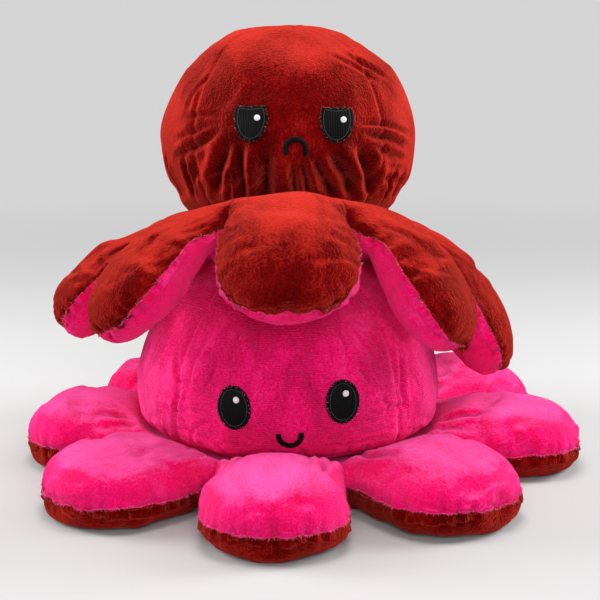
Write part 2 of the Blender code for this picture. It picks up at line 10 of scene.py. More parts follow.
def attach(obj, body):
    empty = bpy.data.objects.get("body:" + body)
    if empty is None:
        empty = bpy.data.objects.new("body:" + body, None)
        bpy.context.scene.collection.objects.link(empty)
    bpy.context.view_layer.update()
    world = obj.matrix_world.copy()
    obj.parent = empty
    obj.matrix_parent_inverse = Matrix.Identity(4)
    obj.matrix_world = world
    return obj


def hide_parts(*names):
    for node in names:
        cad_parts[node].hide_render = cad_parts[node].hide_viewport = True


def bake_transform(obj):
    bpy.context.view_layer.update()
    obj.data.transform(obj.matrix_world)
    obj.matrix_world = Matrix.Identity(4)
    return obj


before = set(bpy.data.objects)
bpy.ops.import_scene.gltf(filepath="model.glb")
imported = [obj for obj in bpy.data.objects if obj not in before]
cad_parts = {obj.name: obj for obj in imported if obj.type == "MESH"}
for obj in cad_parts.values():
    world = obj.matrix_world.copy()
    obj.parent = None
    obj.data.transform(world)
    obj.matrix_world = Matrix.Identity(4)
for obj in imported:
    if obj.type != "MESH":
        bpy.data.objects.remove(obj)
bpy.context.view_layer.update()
print("frame loaded:", len(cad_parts), "solids")

# ---- camera first, as the photograph was taken

cameraPlace = {"location": (-0.0016, -1.1868, 0.40), "tilt": 77.0, "focalPixels": 1629.0, "framePixels": 600.0}

cameraData = bpy.data.cameras.new("studioCamera")
cameraData.sensor_width = 36.0
cameraData.lens = cameraPlace["focalPixels"] * 36.0 / cameraPlace["framePixels"]
camera = bpy.data.objects.new("studioCamera", cameraData)
bpy.context.scene.collection.objects.link(camera)
camera.location = cameraPlace["location"]
camera.rotation_euler = (math.radians(cameraPlace["tilt"]), 0.0, 0.0)
bpy.context.scene.camera = camera

# ---- the two toys, lengths in metres, angles in degrees
# tentacles: azimuth from the front, length and width shares, hang, sideways swing, roll

pinkToy = {
    "name": "pink",
    "place": Matrix.Translation((-0.0102, -0.0018, 0.0195)),
    "neck": 0.0564,
    "skirtEdge": 0.114,
    "neckDrop": 0.0,
    "sidesHang": 0.0,
    "hinge": 0.118,
    "notch": 0.120,
    "valleyStart": 0.084,
    "seamSag": 0.0018,
    "pleatDepth": 0.0028,
    "bend": (0.112, 0.145),
    "droop": 0.0,
    "floor": -0.0195,
    "topRise": ((0.0564, 0.003), (0.066, 0.0065), (0.082, 0.0075), (0.095, 0.0095), (0.106, 0.0150), (0.116, 0.0240),
                (0.130, 0.0315), (0.155, 0.0345), (0.180, 0.0345), (0.220, 0.0330)),
    "soleDepth": ((0.0564, 0.019), (0.080, 0.023), (0.100, 0.024), (0.130, 0.0265), (0.172, 0.029), (0.220, 0.028)),
    "headRadius": 0.112,
    "headLift": 0.040,
    "headRise": 0.113,
    "headFall": 0.0312,
    "crownPower": 2.0,
    "basePower": 4.0,
    "tipPower": 2.2,
    "tentacles": {
        "front": (-3.0, 0.95, 0.99, 0.0, 0.0, 0.0),
        "frontRight": (42.0, 0.94, 0.99, 0.0, 2.0, 0.0),
        "right": (88.5, 1.05, 0.92, 0.0, 0.0, 0.0),
        "backRight": (132.0, 1.16, 0.92, 0.0, -12.0, 0.0),
        "back": (176.0, 0.97, 0.94, 0.0, 0.0, 0.0),
        "backLeft": (221.5, 0.80, 0.90, 0.0, 5.0, 0.0),
        "left": (266.0, 0.81, 0.92, 0.0, 0.0, 0.0),
        "frontLeft": (312.0, 0.93, 0.97, 0.0, -3.0, 0.0),
    },
}

redToy = {
    "name": "red",
    "place": Matrix.Translation((-0.0102, 0.020942, 0.188477)) @ Euler((math.radians(-10.0), 0.0, 0.0)).to_matrix().to_4x4(),
    "neck": 0.0604,
    "skirtEdge": 0.097,
    "neckDrop": 0.034,
    "sidesHang": 0.024,
    "hinge": 0.101,
    "notch": 0.107,
    "valleyStart": 0.088,
    "seamSag": 0.0,
    "pleatDepth": 0.0013,
    "bend": (0.084, 0.122),
    "droop": 10.0,
    "floor": None,
    "topRise": ((0.0604, 0.002), (0.070, 0.0090), (0.082, 0.0130), (0.095, 0.0150), (0.106, 0.0168), (0.125, 0.0212),
                (0.155, 0.0240), (0.210, 0.0235)),
    "soleDepth": ((0.0604, 0.002), (0.075, 0.0055), (0.088, 0.0100), (0.100, 0.0160), (0.115, 0.0200), (0.150, 0.0230),
                  (0.210, 0.0220)),
    "headRadius": 0.0940,
    "headLift": 0.050,
    "headRise": 0.090,
    "headFall": 0.072,
    "crownPower": 2.15,
    "basePower": 2.1,
    "tipPower": 2.6,
    "tentacles": {
        "front": (0.0, 0.94, 0.95, -43.0, 0.0, 0.0),
        "frontRight": (45.0, 1.00, 0.82, -50.0, 6.0, -24.0),
        "right": (90.0, 1.10, 0.84, -56.0, 0.0, -8.0),
        "backRight": (135.0, 1.04, 0.90, -50.0, 0.0, 0.0),
        "back": (180.0, 1.00, 0.90, -44.0, 0.0, 0.0),
        "backLeft": (225.0, 1.04, 0.90, -44.0, 0.0, 0.0),
        "left": (270.0, 0.92, 0.82, -40.0, 0.0, 8.0),
        "frontLeft": (315.0, 1.00, 0.84, -42.0, -6.0, 20.0),
    },
}

# ---- shader maths as Python expressions


class nodeLink:
    def __init__(self, bench, socket):
        self.bench, self.socket = bench, socket

    def maths(self, operation, first, second):
        return self.bench.node("ShaderNodeMath", {"operation": operation}, {0: first, 1: second})

    def __add__(self, other):
        return self.maths("ADD", self, other)

    def __radd__(self, other):
        return self.maths("ADD", other, self)

    def __sub__(self, other):
        return self.maths("SUBTRACT", self, other)

    def __rsub__(self, other):
        return self.maths("SUBTRACT", other, self)

    def __mul__(self, other):
        return self.maths("MULTIPLY", self, other)

    def __rmul__(self, other):
        return self.maths("MULTIPLY", other, self)

    def __truediv__(self, other):
        return self.maths("DIVIDE", self, other)

    def __rtruediv__(self, other):
        return self.maths("DIVIDE", other, self)


class nodeBench:
    def __init__(self, tree):
        self.tree = tree

    def node(self, kind, settings, sockets, output=0):
        made = self.tree.nodes.new(kind)
        for key, value in settings.items():
            if key == "stops":
                ramp = made.color_ramp
                while len(ramp.elements) < len(value):
                    ramp.elements.new(0.5)
                for stop, (position, shade) in zip(ramp.elements, value):
                    stop.position, stop.color = position, (shade, shade, shade, 1.0)
            else:
                setattr(made, key, value)
        for key, value in sockets.items():
            if isinstance(value, nodeLink):
                self.tree.links.new(value.socket, made.inputs[key])
            else:
                made.inputs[key].default_value = value
        return nodeLink(self, made.outputs[output])

    def mixed(self, factor, first, second):
        return self.node("ShaderNodeMix", {"data_type": "RGBA"}, {0: factor, 6: first, 7: second}, 2)


def newMaterial(name):
    material = bpy.data.materials.new(name)
    material.use_nodes = True
    return material, nodeBench(material.node_tree), material.node_tree.nodes["Principled BSDF"]


def opaque(colour):
    return (*colour, 1.0)


# raised is the lighter colour of standing pile and also of the painted light on the tops; the darkest colour is painted
# shade for the creases
pinkFinish = {
    "base": (0.980, 0.0006, 0.160),
    "flattened": (0.840, 0.0002, 0.085),
    "raised": (1.000, 0.110, 0.420),
    "creaseShadeColour": (0.360, 0.0003, 0.035),
    "paintedLightShare": 0.23,
    "grainShare": 0.42,
    "sheenTint": (1.0, 0.12, 0.46),
    "sheen": 0.85,
    "sheenRoughness": 0.46,
    "napScale": 42.0,
    "strokeScale": 420.0,
    "grainScale": 760.0,
    "pileDepth": 0.0014,
    "knit": 0.0,
}
redFinish = {
    "base": (0.178, 0.0003, 0.0012),
    "flattened": (0.075, 0.0002, 0.0006),
    "raised": (0.560, 0.0240, 0.0160),
    "creaseShadeColour": (0.020, 0.0002, 0.0002),
    "paintedLightShare": 0.26,
    "grainShare": 0.30,
    "sheenTint": (1.0, 0.085, 0.055),
    "sheen": 1.0,
    "sheenRoughness": 0.30,
    "napScale": 38.0,
    "strokeScale": 400.0,
    "grainScale": 700.0,
    "pileDepth": 0.0018,
    "knit": 0.0,
}
pinkFaceFinish = {
    **pinkFinish,
    "base": (0.960, 0.0012, 0.160),
    "flattened": (0.820, 0.0004, 0.100),
    "raised": (1.000, 0.070, 0.320),
    "sheen": 0.5,
    "knit": 0.34,
}


def makeVelour(name, finish):
    # short pile: patches where it stands or lies, strokes along the cloth, fine grain, painted light where it faces up,
    # and painted shade darkening the folds
    material, bench, shader = newMaterial(name)
    place = bench.node("ShaderNodeAttribute", {"attribute_name": "clothPlace"}, {}, "Vector")
    along = bench.node("ShaderNodeAttribute", {"attribute_name": "clothStroke"}, {}, "Vector")
    # painted shade: the crease mask that darkens the colour in the folds
    fold = bench.node("ShaderNodeAttribute", {"attribute_name": "clothFold"}, {}, "Fac")
    nap = bench.node(
        "ShaderNodeTexNoise",
        {},
        {"Vector": along, "Scale": finish["napScale"], "Detail": 3.0, "Roughness": 0.6, "Distortion": 0.4},
    )
    strokes = bench.node(
        "ShaderNodeTexNoise",
        {},
        {"Vector": along, "Scale": finish["strokeScale"], "Detail": 4.0, "Roughness": 0.65, "Distortion": 0.9},
    )
    grain = bench.node("ShaderNodeTexNoise", {}, {"Vector": place, "Scale": finish["grainScale"], "Detail": 3.0, "Roughness": 0.7})
    # painted light: the mask of places facing up, and the heads' sides, that mixes in the lighter raised colour
    paintedLight = bench.node("ShaderNodeAttribute", {"attribute_name": "clothCrown"}, {}, "Fac")
    standing = nap * 0.45 + strokes * 0.35 + grain * 0.20
    lie = bench.node("ShaderNodeValToRGB", {"stops": ((0.42, 0.0), (0.56, 1.0))}, {"Fac": standing})
    # the lighter raised colour comes partly from random nap noise and partly from the painted light mask
    lit = bench.node(
        "ShaderNodeValToRGB", {"stops": ((0.49, 0.0), (0.74, 1.0))}, {"Fac": standing * 0.9 + paintedLight * finish["paintedLightShare"]}
    )
    tips = bench.node("ShaderNodeValToRGB", {"stops": ((0.47, 0.0), (0.58, 1.0))}, {"Fac": grain})
    colour = bench.mixed(lie, opaque(finish["flattened"]), opaque(finish["base"]))
    colour = bench.mixed(lit * 0.85, colour, opaque(finish["raised"]))
    # the grain's lighter tips show more where the painted light falls
    tipShare = tips * (lit * 0.8 + 0.2) * finish["grainShare"]
    relief = grain * 0.9 + strokes * 0.7
    if finish["knit"]:
        # the knit's rows show through where the pile is thin
        level = bench.node("ShaderNodeSeparateXYZ", {}, {"Vector": place}, 2)
        rows = bench.node("ShaderNodeMath", {"operation": "SINE"}, {0: level * 4300.0 + strokes * 3.0})
        relief = relief + rows * finish["knit"] * (1.15 - lie)
        tipShare = tipShare + (rows * 0.5 + 0.5) * tips * finish["knit"] * 0.8
    colour = bench.mixed(tipShare, colour, opaque(finish["raised"]))
    # painted shade: darker colour mixed in along the folds
    colour = bench.mixed(fold, colour, opaque(finish["creaseShadeColour"]))
    links = material.node_tree.links
    links.new(colour.socket, shader.inputs["Base Color"])
    bump = bench.node("ShaderNodeBump", {}, {"Height": relief, "Strength": 1.0, "Distance": finish["pileDepth"]})
    links.new(bump.socket, shader.inputs["Normal"])
    shader.inputs["Roughness"].default_value = 0.9
    shader.inputs["Sheen Weight"].default_value = finish["sheen"]
    shader.inputs["Sheen Roughness"].default_value = finish["sheenRoughness"]
    shader.inputs["Sheen Tint"].default_value = opaque(finish["sheenTint"])
    shader.inputs["Specular IOR Level"].default_value = 0.02
    return material


def makeThread(name, dark, light, roughness, gloss):
    material, bench, shader = newMaterial(name)
    place = bench.node("ShaderNodeTexCoord", {}, {}, "Object")
    twist = bench.node("ShaderNodeTexNoise", {}, {"Vector": place, "Scale": 900.0, "Detail": 2.0})
    colour = bench.mixed(twist, opaque(dark), opaque(light))
    material.node_tree.links.new(colour.socket, shader.inputs["Base Color"])
    bump = bench.node("ShaderNodeBump", {}, {"Height": twist, "Strength": 0.3, "Distance": 0.0002})
    material.node_tree.links.new(bump.socket, shader.inputs["Normal"])
    shader.inputs["Roughness"].default_value = roughness
    shader.inputs["Specular IOR Level"].default_value = gloss
    return material


pinkVelour = makeVelour("pinkVelour", pinkFinish)
pinkFaceVelour = makeVelour("pinkFaceVelour", pinkFaceFinish)
redVelour = makeVelour("redVelour", redFinish)
blackThread = makeThread("blackThread", (0.0012, 0.0012, 0.0012), (0.0034, 0.0038, 0.0036), 0.42, 0.07)
# grey-green thread, lighter than the black: a painted highlight along the inner edge of the eyes' border
edgeThread = makeThread("edgeThread", (0.022, 0.032, 0.029), (0.060, 0.075, 0.070), 0.45, 0.15)
whiteThread = makeThread("whiteThread", (0.58, 0.57, 0.60), (0.90, 0.90, 0.92), 0.42, 0.35)
pinkPile = makeThread("pinkPile", (0.90, 0.06, 0.30), (0.98, 0.26, 0.50), 0.8, 0.1)
redPile = makeThread("redPile", (0.46, 0.035, 0.028), (0.80, 0.16, 0.12), 0.8, 0.1)
pinkToy["cloths"] = (pinkVelour, redVelour)
redToy["cloths"] = (redVelour, pinkVelour)
pinkToy["headCloth"] = pinkFaceVelour
redToy["headCloth"] = redVelour
pinkToy["piles"] = (pinkPile, redPile)
redToy["piles"] = (redPile, pinkPile)
print("materials made")

# ---- small shape tools


def smooth(share):
    share = np.clip(share, 0.0, 1.0)
    return share * share * (3.0 - 2.0 * share)


def profile(at, knots):
    # a smooth curve through the knots
    xs = np.array([knot[0] for knot in knots])
    ys = np.array([knot[1] for knot in knots])
    slopes = np.gradient(ys, xs)
    at = np.clip(at, xs[0], xs[-1])
    index = np.clip(np.searchsorted(xs, at) - 1, 0, len(xs) - 2)
    span = xs[index + 1] - xs[index]
    t = (at - xs[index]) / span
    return (
        (1 + 2 * t) * (1 - t) ** 2 * ys[index]
        + t * (1 - t) ** 2 * span * slopes[index]
        + t * t * (3 - 2 * t) * ys[index + 1]
        + t * t * (t - 1) * span * slopes[index + 1]
    )


def lumps(points, seed, size, count=14):
    # slow unevenness of stuffing, from a few seeded waves
    rng = np.random.default_rng(seed)
    total = np.zeros(len(points))
    for _ in range(count):
        way = rng.normal(size=3)
        way /= np.linalg.norm(way)
        total += np.sin(points @ way * (2 * math.pi / (size * rng.uniform(0.7, 1.6))) + rng.uniform(0, 2 * math.pi))
    return total / math.sqrt(count)


def intoWorld(toy, points):
    matrix = np.array(toy["place"])
    return points @ matrix[:3, :3].T + matrix[:3, 3]


def makeObject(name, mesh, materials):
    for material in materials:
        mesh.materials.append(material)
    made = bpy.data.objects.new(name, mesh)
    bpy.context.scene.collection.objects.link(made)
    return made


def setVector(mesh, name, values):
    attribute = mesh.attributes.get(name) or mesh.attributes.new(name, "FLOAT_VECTOR", "POINT")
    attribute.data.foreach_set("vector", np.asarray(values, np.float32).ravel())


def setShare(mesh, name, values):
    mesh.attributes.new(name, "FLOAT", "POINT").data.foreach_set("value", np.asarray(values, np.float32))


def pointsOf(mesh):
    points = np.zeros(len(mesh.vertices) * 3, np.float32)
    mesh.vertices.foreach_get("co", points)
    return points.reshape(-1, 3).astype(float)


def normalsOf(mesh):
    normals = np.zeros(len(mesh.vertices) * 3, np.float32)
    mesh.vertex_normals.foreach_get("vector", normals)
    return normals.reshape(-1, 3).astype(float)


# ---- the stars: skirt and tentacles as one pillow each, cut into eight wedges along the notches' valleys

starMesh = {
    "neckRows": 16,
    "lobeRows": 56,
    "columns": 44,
    "cushionPower": 2.2,
    "fullestShare": 0.52,
    "rollReach": (-0.012, 0.030),
    "strokeStretch": 0.50,
    "tentacleLength": 0.098,
    "tentacleHalfWidth": 0.0515,
    "rowSpacing": 1.7,
    "floorSoftness": 0.0016,
    "headClearance": 0.0006,
    "seamPull": 0.0013,
    "puckerDepth": 0.0027,
    "lumpDepth": 0.0011,
}


def hangAt(toy, turn):
    plans = sorted(toy["tentacles"].values())
    azimuths = np.radians([plan[0] for plan in plans])
    hangs = np.radians([plan[3] for plan in plans])
    return np.interp(turn, azimuths, hangs, period=2 * math.pi)


def tiltAt(toy, s, hang):
    inward = np.clip((toy["skirtEdge"] - s) / (toy["skirtEdge"] - toy["neck"]), 0.0, 1.0)
    rising = np.arctan(toy["neckDrop"] * 1.9 * inward**0.9 / (toy["skirtEdge"] - toy["neck"]))
    start, end = toy["bend"]
    over = smooth((s - start) / (end - start))
    droop = math.radians(toy["droop"]) * np.clip((s - toy["hinge"]) / starMesh["tentacleLength"], 0.0, 1.2)
    return rising + (hang - droop - rising) * over


def bendPath(toy, s, hang, steps=24):
    # where the cushion's middle lies at a distance s along the flat pattern, and how it tilts there
    start = toy["bend"][0]
    flat = np.minimum(s, start)
    inward = np.clip((toy["skirtEdge"] - flat) / (toy["skirtEdge"] - toy["neck"]), 0.0, 1.0)
    reach, height = flat.copy(), -toy["neckDrop"] * inward**1.9
    over = np.maximum(s - start, 0.0)
    for step in range(steps):
        tilt = tiltAt(toy, start + over * (step + 0.5) / steps, hang)
        reach = reach + over / steps * np.cos(tilt)
        height = height + over / steps * np.sin(tilt)
    return reach, height, tiltAt(toy, s, hang)


def layOut(toy, plan, x, y, rise):
    # bends the flat pattern: round the neck it runs straight out everywhere, past the notches along the tentacle
    azimuth, lengthShare, _, hang, swing, roll = plan
    own = math.radians(azimuth)
    radius = np.hypot(x, y)
    turn = own + np.arctan2(y, x)
    reach, height, tilt = bendPath(toy, radius, hangAt(toy, turn))
    outward = np.clip((radius - toy["neck"]) / (toy["hinge"] - toy["neck"]), 0.0, 1.0)
    height = height - toy["sidesHang"] * (1.0 - np.cos(2.0 * turn)) / 2 * outward
    reach, height = reach - rise * np.sin(tilt), height + rise * np.cos(tilt)
    ring = np.stack((reach * np.sin(turn), -reach * np.cos(turn), height), -1)

    reach, height, tilt = bendPath(toy, x, np.full_like(x, math.radians(hang)))
    height = height - toy["sidesHang"] * (1.0 - math.cos(2.0 * own)) / 2
    share = np.maximum(x - toy["hinge"], 0.0) / (starMesh["tentacleLength"] * lengthShare)
    start, end = starMesh["rollReach"]
    rolled = math.radians(roll) * smooth((x - toy["hinge"] - start) / (end - start))
    aside = y * np.cos(rolled) - rise * np.sin(rolled)
    aside = aside + np.maximum(reach - toy["hinge"], 0.0) * share * math.tan(math.radians(swing))
    raised = rise * np.cos(rolled) + y * np.sin(rolled)
    reach, height = reach - raised * np.sin(tilt), height + raised * np.cos(tilt)
    lobe = np.stack(
        (reach * math.sin(own) + aside * math.cos(own), -reach * math.cos(own) + aside * math.sin(own), height), -1
    )
    out = pastNotch(toy, x)[..., None]
    placed = ring * (1.0 - out) + lobe * out
    placed[..., 2] -= toy["seamSag"] * smooth((x - 0.106) / 0.040) * (2.4 if own > math.radians(300.0) else 1.0)
    if toy["floor"] is not None:
        soft = starMesh["floorSoftness"]
        over = (placed[..., 2] - toy["floor"]) / soft
        placed[..., 2] = toy["floor"] + soft * np.where(over > 30.0, over, np.log1p(np.exp(np.minimum(over, 30.0))))
    return placed


def pastNotch(toy, x):
    return smooth((x - toy["notch"] * math.cos(math.radians(21.4))) / 0.030)


def headShare(toy, points, grow):
    # under 1 inside the head grown by that much
    radius = np.hypot(points[..., 0], points[..., 1])
    azimuth = np.arctan2(points[..., 1], points[..., 0])
    plan = (np.abs(np.cos(azimuth)) ** 2.12 + np.abs(np.sin(azimuth)) ** 2.12) ** (-1.0 / 2.12) - 1.0
    half = (toy["headRadius"] + grow) / (2.0 * toy["headRadius"] * np.maximum(plan, 1e-6))
    out = np.sqrt(half * half + radius / (toy["headRadius"] * np.maximum(plan, 1e-6))) - half
    over = points[..., 2] - toy["headLift"]
    reach = np.where(over > 0.0, toy["headRise"], toy["headFall"]) + grow
    power = np.where(over > 0.0, toy["crownPower"], toy["basePower"])
    return out**power + (np.abs(over) / reach) ** power


def wedgePattern(toy, side):
    # the flat pattern of one eighth: where each vertex lies, and how far up the cushion's cross-section it is
    names = sorted(toy["tentacles"], key=lambda name: toy["tentacles"][name][0] % 360.0)
    plan = toy["tentacles"][side]
    index = names.index(side)
    azimuth = plan[0] % 360.0
    after = (toy["tentacles"][names[(index + 1) % 8]][0] - azimuth) % 360.0 / 2
    before = (azimuth - toy["tentacles"][names[index - 1]][0]) % 360.0 / 2
    theta = np.linspace(math.pi, 0.0, starMesh["columns"] + 1)
    share = 2.0 / starMesh["cushionPower"]
    out = np.sign(np.cos(theta)) * np.abs(np.cos(theta)) ** share
    up = np.abs(np.sin(theta)) ** share
    up[0] = up[-1] = 0.0
    half = np.radians(np.where(out > 0.0, after, before))
    notch = toy["notch"]
    fullest = toy["hinge"] + starMesh["fullestShare"] * starMesh["tentacleLength"] * plan[1]
    tip = toy["hinge"] + starMesh["tentacleLength"] * plan[1]
    rows = []
    for row in range(starMesh["neckRows"] + 1):
        radius = toy["neck"] + (notch - toy["neck"]) * row / starMesh["neckRows"]
        rows.append((radius * np.cos(out * half), radius * np.sin(out * half)))
    for row in range(1, starMesh["lobeRows"] + 1):
        along = 1.0 - (1.0 - row / starMesh["lobeRows"]) ** starMesh["rowSpacing"]
        edge = notch * np.cos(half) + (tip - notch * np.cos(half)) * along
        middle = notch + (tip - notch) * along
        x = middle + (edge - middle) * (1.0 - np.cos(out * half)) / (1.0 - np.cos(half))
        root = notch * np.sin(half)
        grown = np.sin(math.pi / 2 * np.clip((edge - notch * np.cos(half)) / (fullest - notch * np.cos(half)), 0.0, 1.0))
        width = root + (starMesh["tentacleHalfWidth"] * plan[2] - root) * grown
        past = np.clip((edge - fullest) / (tip - fullest), 0.0, 1.0)
        width = width * (1.0 - past ** toy["tipPower"]) ** (1.0 / toy["tipPower"])
        rows.append((x, width * np.sin(out * half) / np.sin(half)))
    x = np.array([row[0] for row in rows])
    y = np.array([row[1] for row in rows])
    radius = np.hypot(x, y)
    t = pastNotch(toy, x)
    distance = radius + (x - radius) * t
    past = np.clip((x - fullest) / (tip - fullest), 0.0, 1.0)
    ending = (1.0 - past ** toy["tipPower"]) ** (1.0 / toy["tipPower"])
    valley = np.clip((radius - toy["valleyStart"]) / (notch - toy["valleyStart"]), 0.0, 1.0)
    valley = np.where(np.arange(len(rows))[:, None] <= starMesh["neckRows"], np.sqrt(1.0 - valley**2), 0.0)
    heights = []
    for knots in (toy["topRise"], toy["soleDepth"]):
        full = profile(distance, knots) * ending
        heights.append(full * (valley + (1.0 - valley) * up))
    boundary = (1.0 - t) * np.abs(out) ** 6.0
    return plan, x, y, heights[0], heights[1], boundary, tip


def wedgeMesh(top, sole, neckRows=starMesh["neckRows"]):
    # top and sole grids share the seam past the notch, and walls close the rest
    rows, columns = top.shape[0], top.shape[1]
    bm = bmesh.new()
    topVerts = [[bm.verts.new(top[r, c]) for c in range(columns)] for r in range(rows - 1)]
    tip = bm.verts.new(top[-1, columns // 2])
    soleVerts = []
    for r in range(rows - 1):
        line = []
        for c in range(columns):
            shared = r >= neckRows and c in (0, columns - 1)
            line.append(topVerts[r][c] if shared else bm.verts.new(sole[r, c]))
        soleVerts.append(line)
    wall = bm.faces.layers.int.new("wall")
    for verts, cloth in ((topVerts, 0), (soleVerts, 1)):
        for r in range(rows - 2):
            for c in range(columns - 1):
                ring = [verts[r][c], verts[r][c + 1], verts[r + 1][c + 1], verts[r + 1][c]]
                face = bm.faces.new(ring[::-1] if cloth == 0 else ring)
                face.material_index = cloth
        for c in range(columns - 1):
            ring = [verts[-1][c], verts[-1][c + 1], tip]
            bm.faces.new(ring[::-1] if cloth == 0 else ring).material_index = cloth
    for c in (0, columns - 1):
        for r in range(neckRows):
            ring = [topVerts[r][c], topVerts[r + 1][c], soleVerts[r + 1][c], soleVerts[r][c]]
            ring = list(dict.fromkeys(ring))
            face = bm.faces.new(ring if c else ring[::-1])
            face[wall] = 1
    for c in range(columns - 1):
        face = bm.faces.new([topVerts[0][c], topVerts[0][c + 1], soleVerts[0][c + 1], soleVerts[0][c]])
        face[wall] = 1
    bm.normal_update()
    bmesh.ops.recalc_face_normals(bm, faces=bm.faces)
    for face in bm.faces:
        face.smooth = not face[wall]
    for edge in bm.edges:
        kinds = {face[wall] for face in edge.link_faces}
        edge.smooth = len(kinds) == 1 and 1 not in kinds
    bm.verts.index_update()
    places = [[[vert.index for vert in line] for line in verts] + [[tip.index] * columns] for verts in (topVerts, soleVerts)]
    mesh = bpy.data.meshes.new("wedge")
    bm.to_mesh(mesh)
    bm.free()
    return mesh, np.array(places)


def seamNearest(points, seam):
    # distance to the seam's outline, and how far along it the nearest place is
    lengths = np.concatenate(([0.0], np.cumsum(np.linalg.norm(np.diff(seam, axis=0), axis=1))))
    gaps = np.linalg.norm(points[:, None, :] - seam[None, :, :], axis=2)
    nearest = gaps.argmin(1)
    return gaps[np.arange(len(points)), nearest], lengths[nearest], lengths[-1]


def seamPuckers(distance, arc, length, seed):
    rng = np.random.default_rng(seed)
    total = np.zeros(len(distance))
    place = 0.006
    while place < length - 0.006:
        width = rng.uniform(0.0016, 0.0034)
        fade = rng.uniform(0.005, 0.013)
        strength = rng.uniform(0.35, 1.0)
        total -= strength * np.exp(-(((arc - place) / width) ** 2)) * np.exp(-distance / fade)
        total += 0.3 * strength * np.exp(-(((arc - place - 2.2 * width) / width) ** 2)) * np.exp(-distance / fade)
        place += rng.uniform(0.006, 0.016)
    return total


def rootPleats(cut, x, seed):
    # short folds that run out from the notches, where the skirt is drawn in
    rng = np.random.default_rng(700 + seed)
    total = np.zeros(len(cut))
    for way in (-1.0, 1.0):
        for _ in range(6):
            start, length = rng.uniform(0.096, 0.120), rng.uniform(0.026, 0.052)
            aside, lean = rng.uniform(0.016, 0.036), rng.uniform(-0.12, 0.22)
            width = rng.uniform(0.0014, 0.0024)
            gap = cut[:, 1] * way - aside - lean * (x - start)
            ends = smooth((x - start) / 0.012) * smooth((start + length - x) / 0.022)
            depth = rng.uniform(0.4, 1.0)
            total -= depth * ends * (np.exp(-((gap / width) ** 2)) - 0.3 * np.exp(-(((np.abs(gap) - 2.2 * width) / width) ** 2)))
    return np.where(cut[:, 2] > 0.0, total, 0.0)


def layWedge(toy, side, seed):
    # the lobe as it is laid out, before the cloth settles
    plan, x, y, rise, depth, boundary, tip = wedgePattern(toy, side)
    topRise = rise.copy()
    for _ in range(14):
        top = layOut(toy, plan, x, y, topRise)
        inside = headShare(toy, top, starMesh["headClearance"]) < 1.0
        if not inside.any():
            break
        topRise[inside] -= 0.0013
    topRise = np.maximum(topRise, -depth * 0.6)
    top = layOut(toy, plan, x, y, topRise)
    sole = layOut(toy, plan, x, y, -depth)
    cut = (np.stack((x, y, topRise), -1), np.stack((x, y, -depth), -1))
    return {"toy": toy, "side": side, "seed": seed, "plan": plan, "cut": cut, "top": top, "sole": sole}


def makeWedge(lobe):
    toy, side, seed, top, sole = (lobe[key] for key in ("toy", "side", "seed", "top", "sole"))
    mesh, _ = wedgeMesh(top, sole)
    points, normals = pointsOf(mesh), normalsOf(mesh)
    pattern, _ = wedgeMesh(*lobe["cut"])
    cut = pointsOf(pattern)
    pleats = rootPleats(cut, cut[:, 0], seed)
    cut[:, 2] += 0.37 * seed
    bpy.data.meshes.remove(pattern)
    neckRows = starMesh["neckRows"]
    seam = np.concatenate((top[neckRows:, 0], top[-2 : neckRows - 1 : -1, -1]))
    distance, arc, length = seamNearest(points, seam)
    notches = np.minimum(
        np.linalg.norm(points - seam[0], axis=1), np.linalg.norm(points - seam[-1], axis=1)
    )
    # the wedge's own edge inside the notches has to match its neighbour's, so nothing moves there
    edges = [half[: neckRows + 1, [0, -1]].reshape(-1, 3) for half in (top, sole)]
    inner = np.linalg.norm(points[:, None, :] - np.concatenate(edges)[None], axis=2).min(1)
    free = smooth(inner / 0.010)
    move = -starMesh["seamPull"] * np.exp(-((distance / 0.0026) ** 2)) * smooth(notches / 0.012)
    puckers = seamPuckers(distance, arc, length, seed) * free
    move += starMesh["puckerDepth"] * puckers + toy["pleatDepth"] * pleats * free
    # painted shade: darker colour in the seam puckers and root pleats
    fold = np.clip(np.maximum(-0.55 * puckers, -190.0 * toy["pleatDepth"] * pleats * free), 0.0, 0.8)
    move += starMesh["lumpDepth"] * lumps(points, 100 + seed, 0.055) * free
    if toy["floor"] is not None:
        move *= smooth((points[:, 2] - toy["floor"]) / 0.006)
    points += normals * move[:, None]
    if toy["floor"] is not None:
        points[:, 2] = np.maximum(points[:, 2], toy["floor"])
    points = intoWorld(toy, points)
    mesh.vertices.foreach_set("co", points.astype(np.float32).ravel())
    setVector(mesh, "clothPlace", cut)
    setVector(mesh, "clothStroke", cut * np.array((starMesh["strokeStretch"], 1.0, 1.0)))
    setShare(mesh, "clothFold", fold)
    mesh.update()
    # painted light: faces pointing up get the mask that lightens them towards the raised colour
    setShare(mesh, "clothCrown", smooth((normalsOf(mesh)[:, 2] - 0.50) / 0.50))
    mesh.name = f"{toy['name']}{side[0].upper()}{side[1:]}Tentacle"
    lobe["piece"] = makeObject(mesh.name, mesh, toy["cloths"])
    lobe["seam"] = intoWorld(toy, seam)


def snake(side):
    return "".join("_" + letter.lower() if letter.isupper() else letter for letter in side)


def blendEnds(toy, plan):
    azimuth = math.radians(plan[0])
    way = Vector((math.sin(azimuth), -math.cos(azimuth), 0.0))
    start, end = toy["blendReach"]
    drop = -toy["sidesHang"] * (1.0 - math.cos(2.0 * azimuth)) / 2
    return [toy["place"] @ (way * reach + Vector((0.0, 0.0, drop))) for reach in (start, end)]


pinkToy["blendReach"] = (0.1125, 0.146)
redToy["blendReach"] = (0.0995, 0.126)

lobes = []
for toy in (pinkToy, redToy):
    for side in toy["tentacles"]:
        lobes.append(layWedge(toy, side, len(lobes) + 1))
print("stars laid out")

# ---- the heads: four gores, with the creases that the filling and the neck's gathers give them
# creases: (azimuth from the front in degrees, height in mm) points, depth mm, width mm

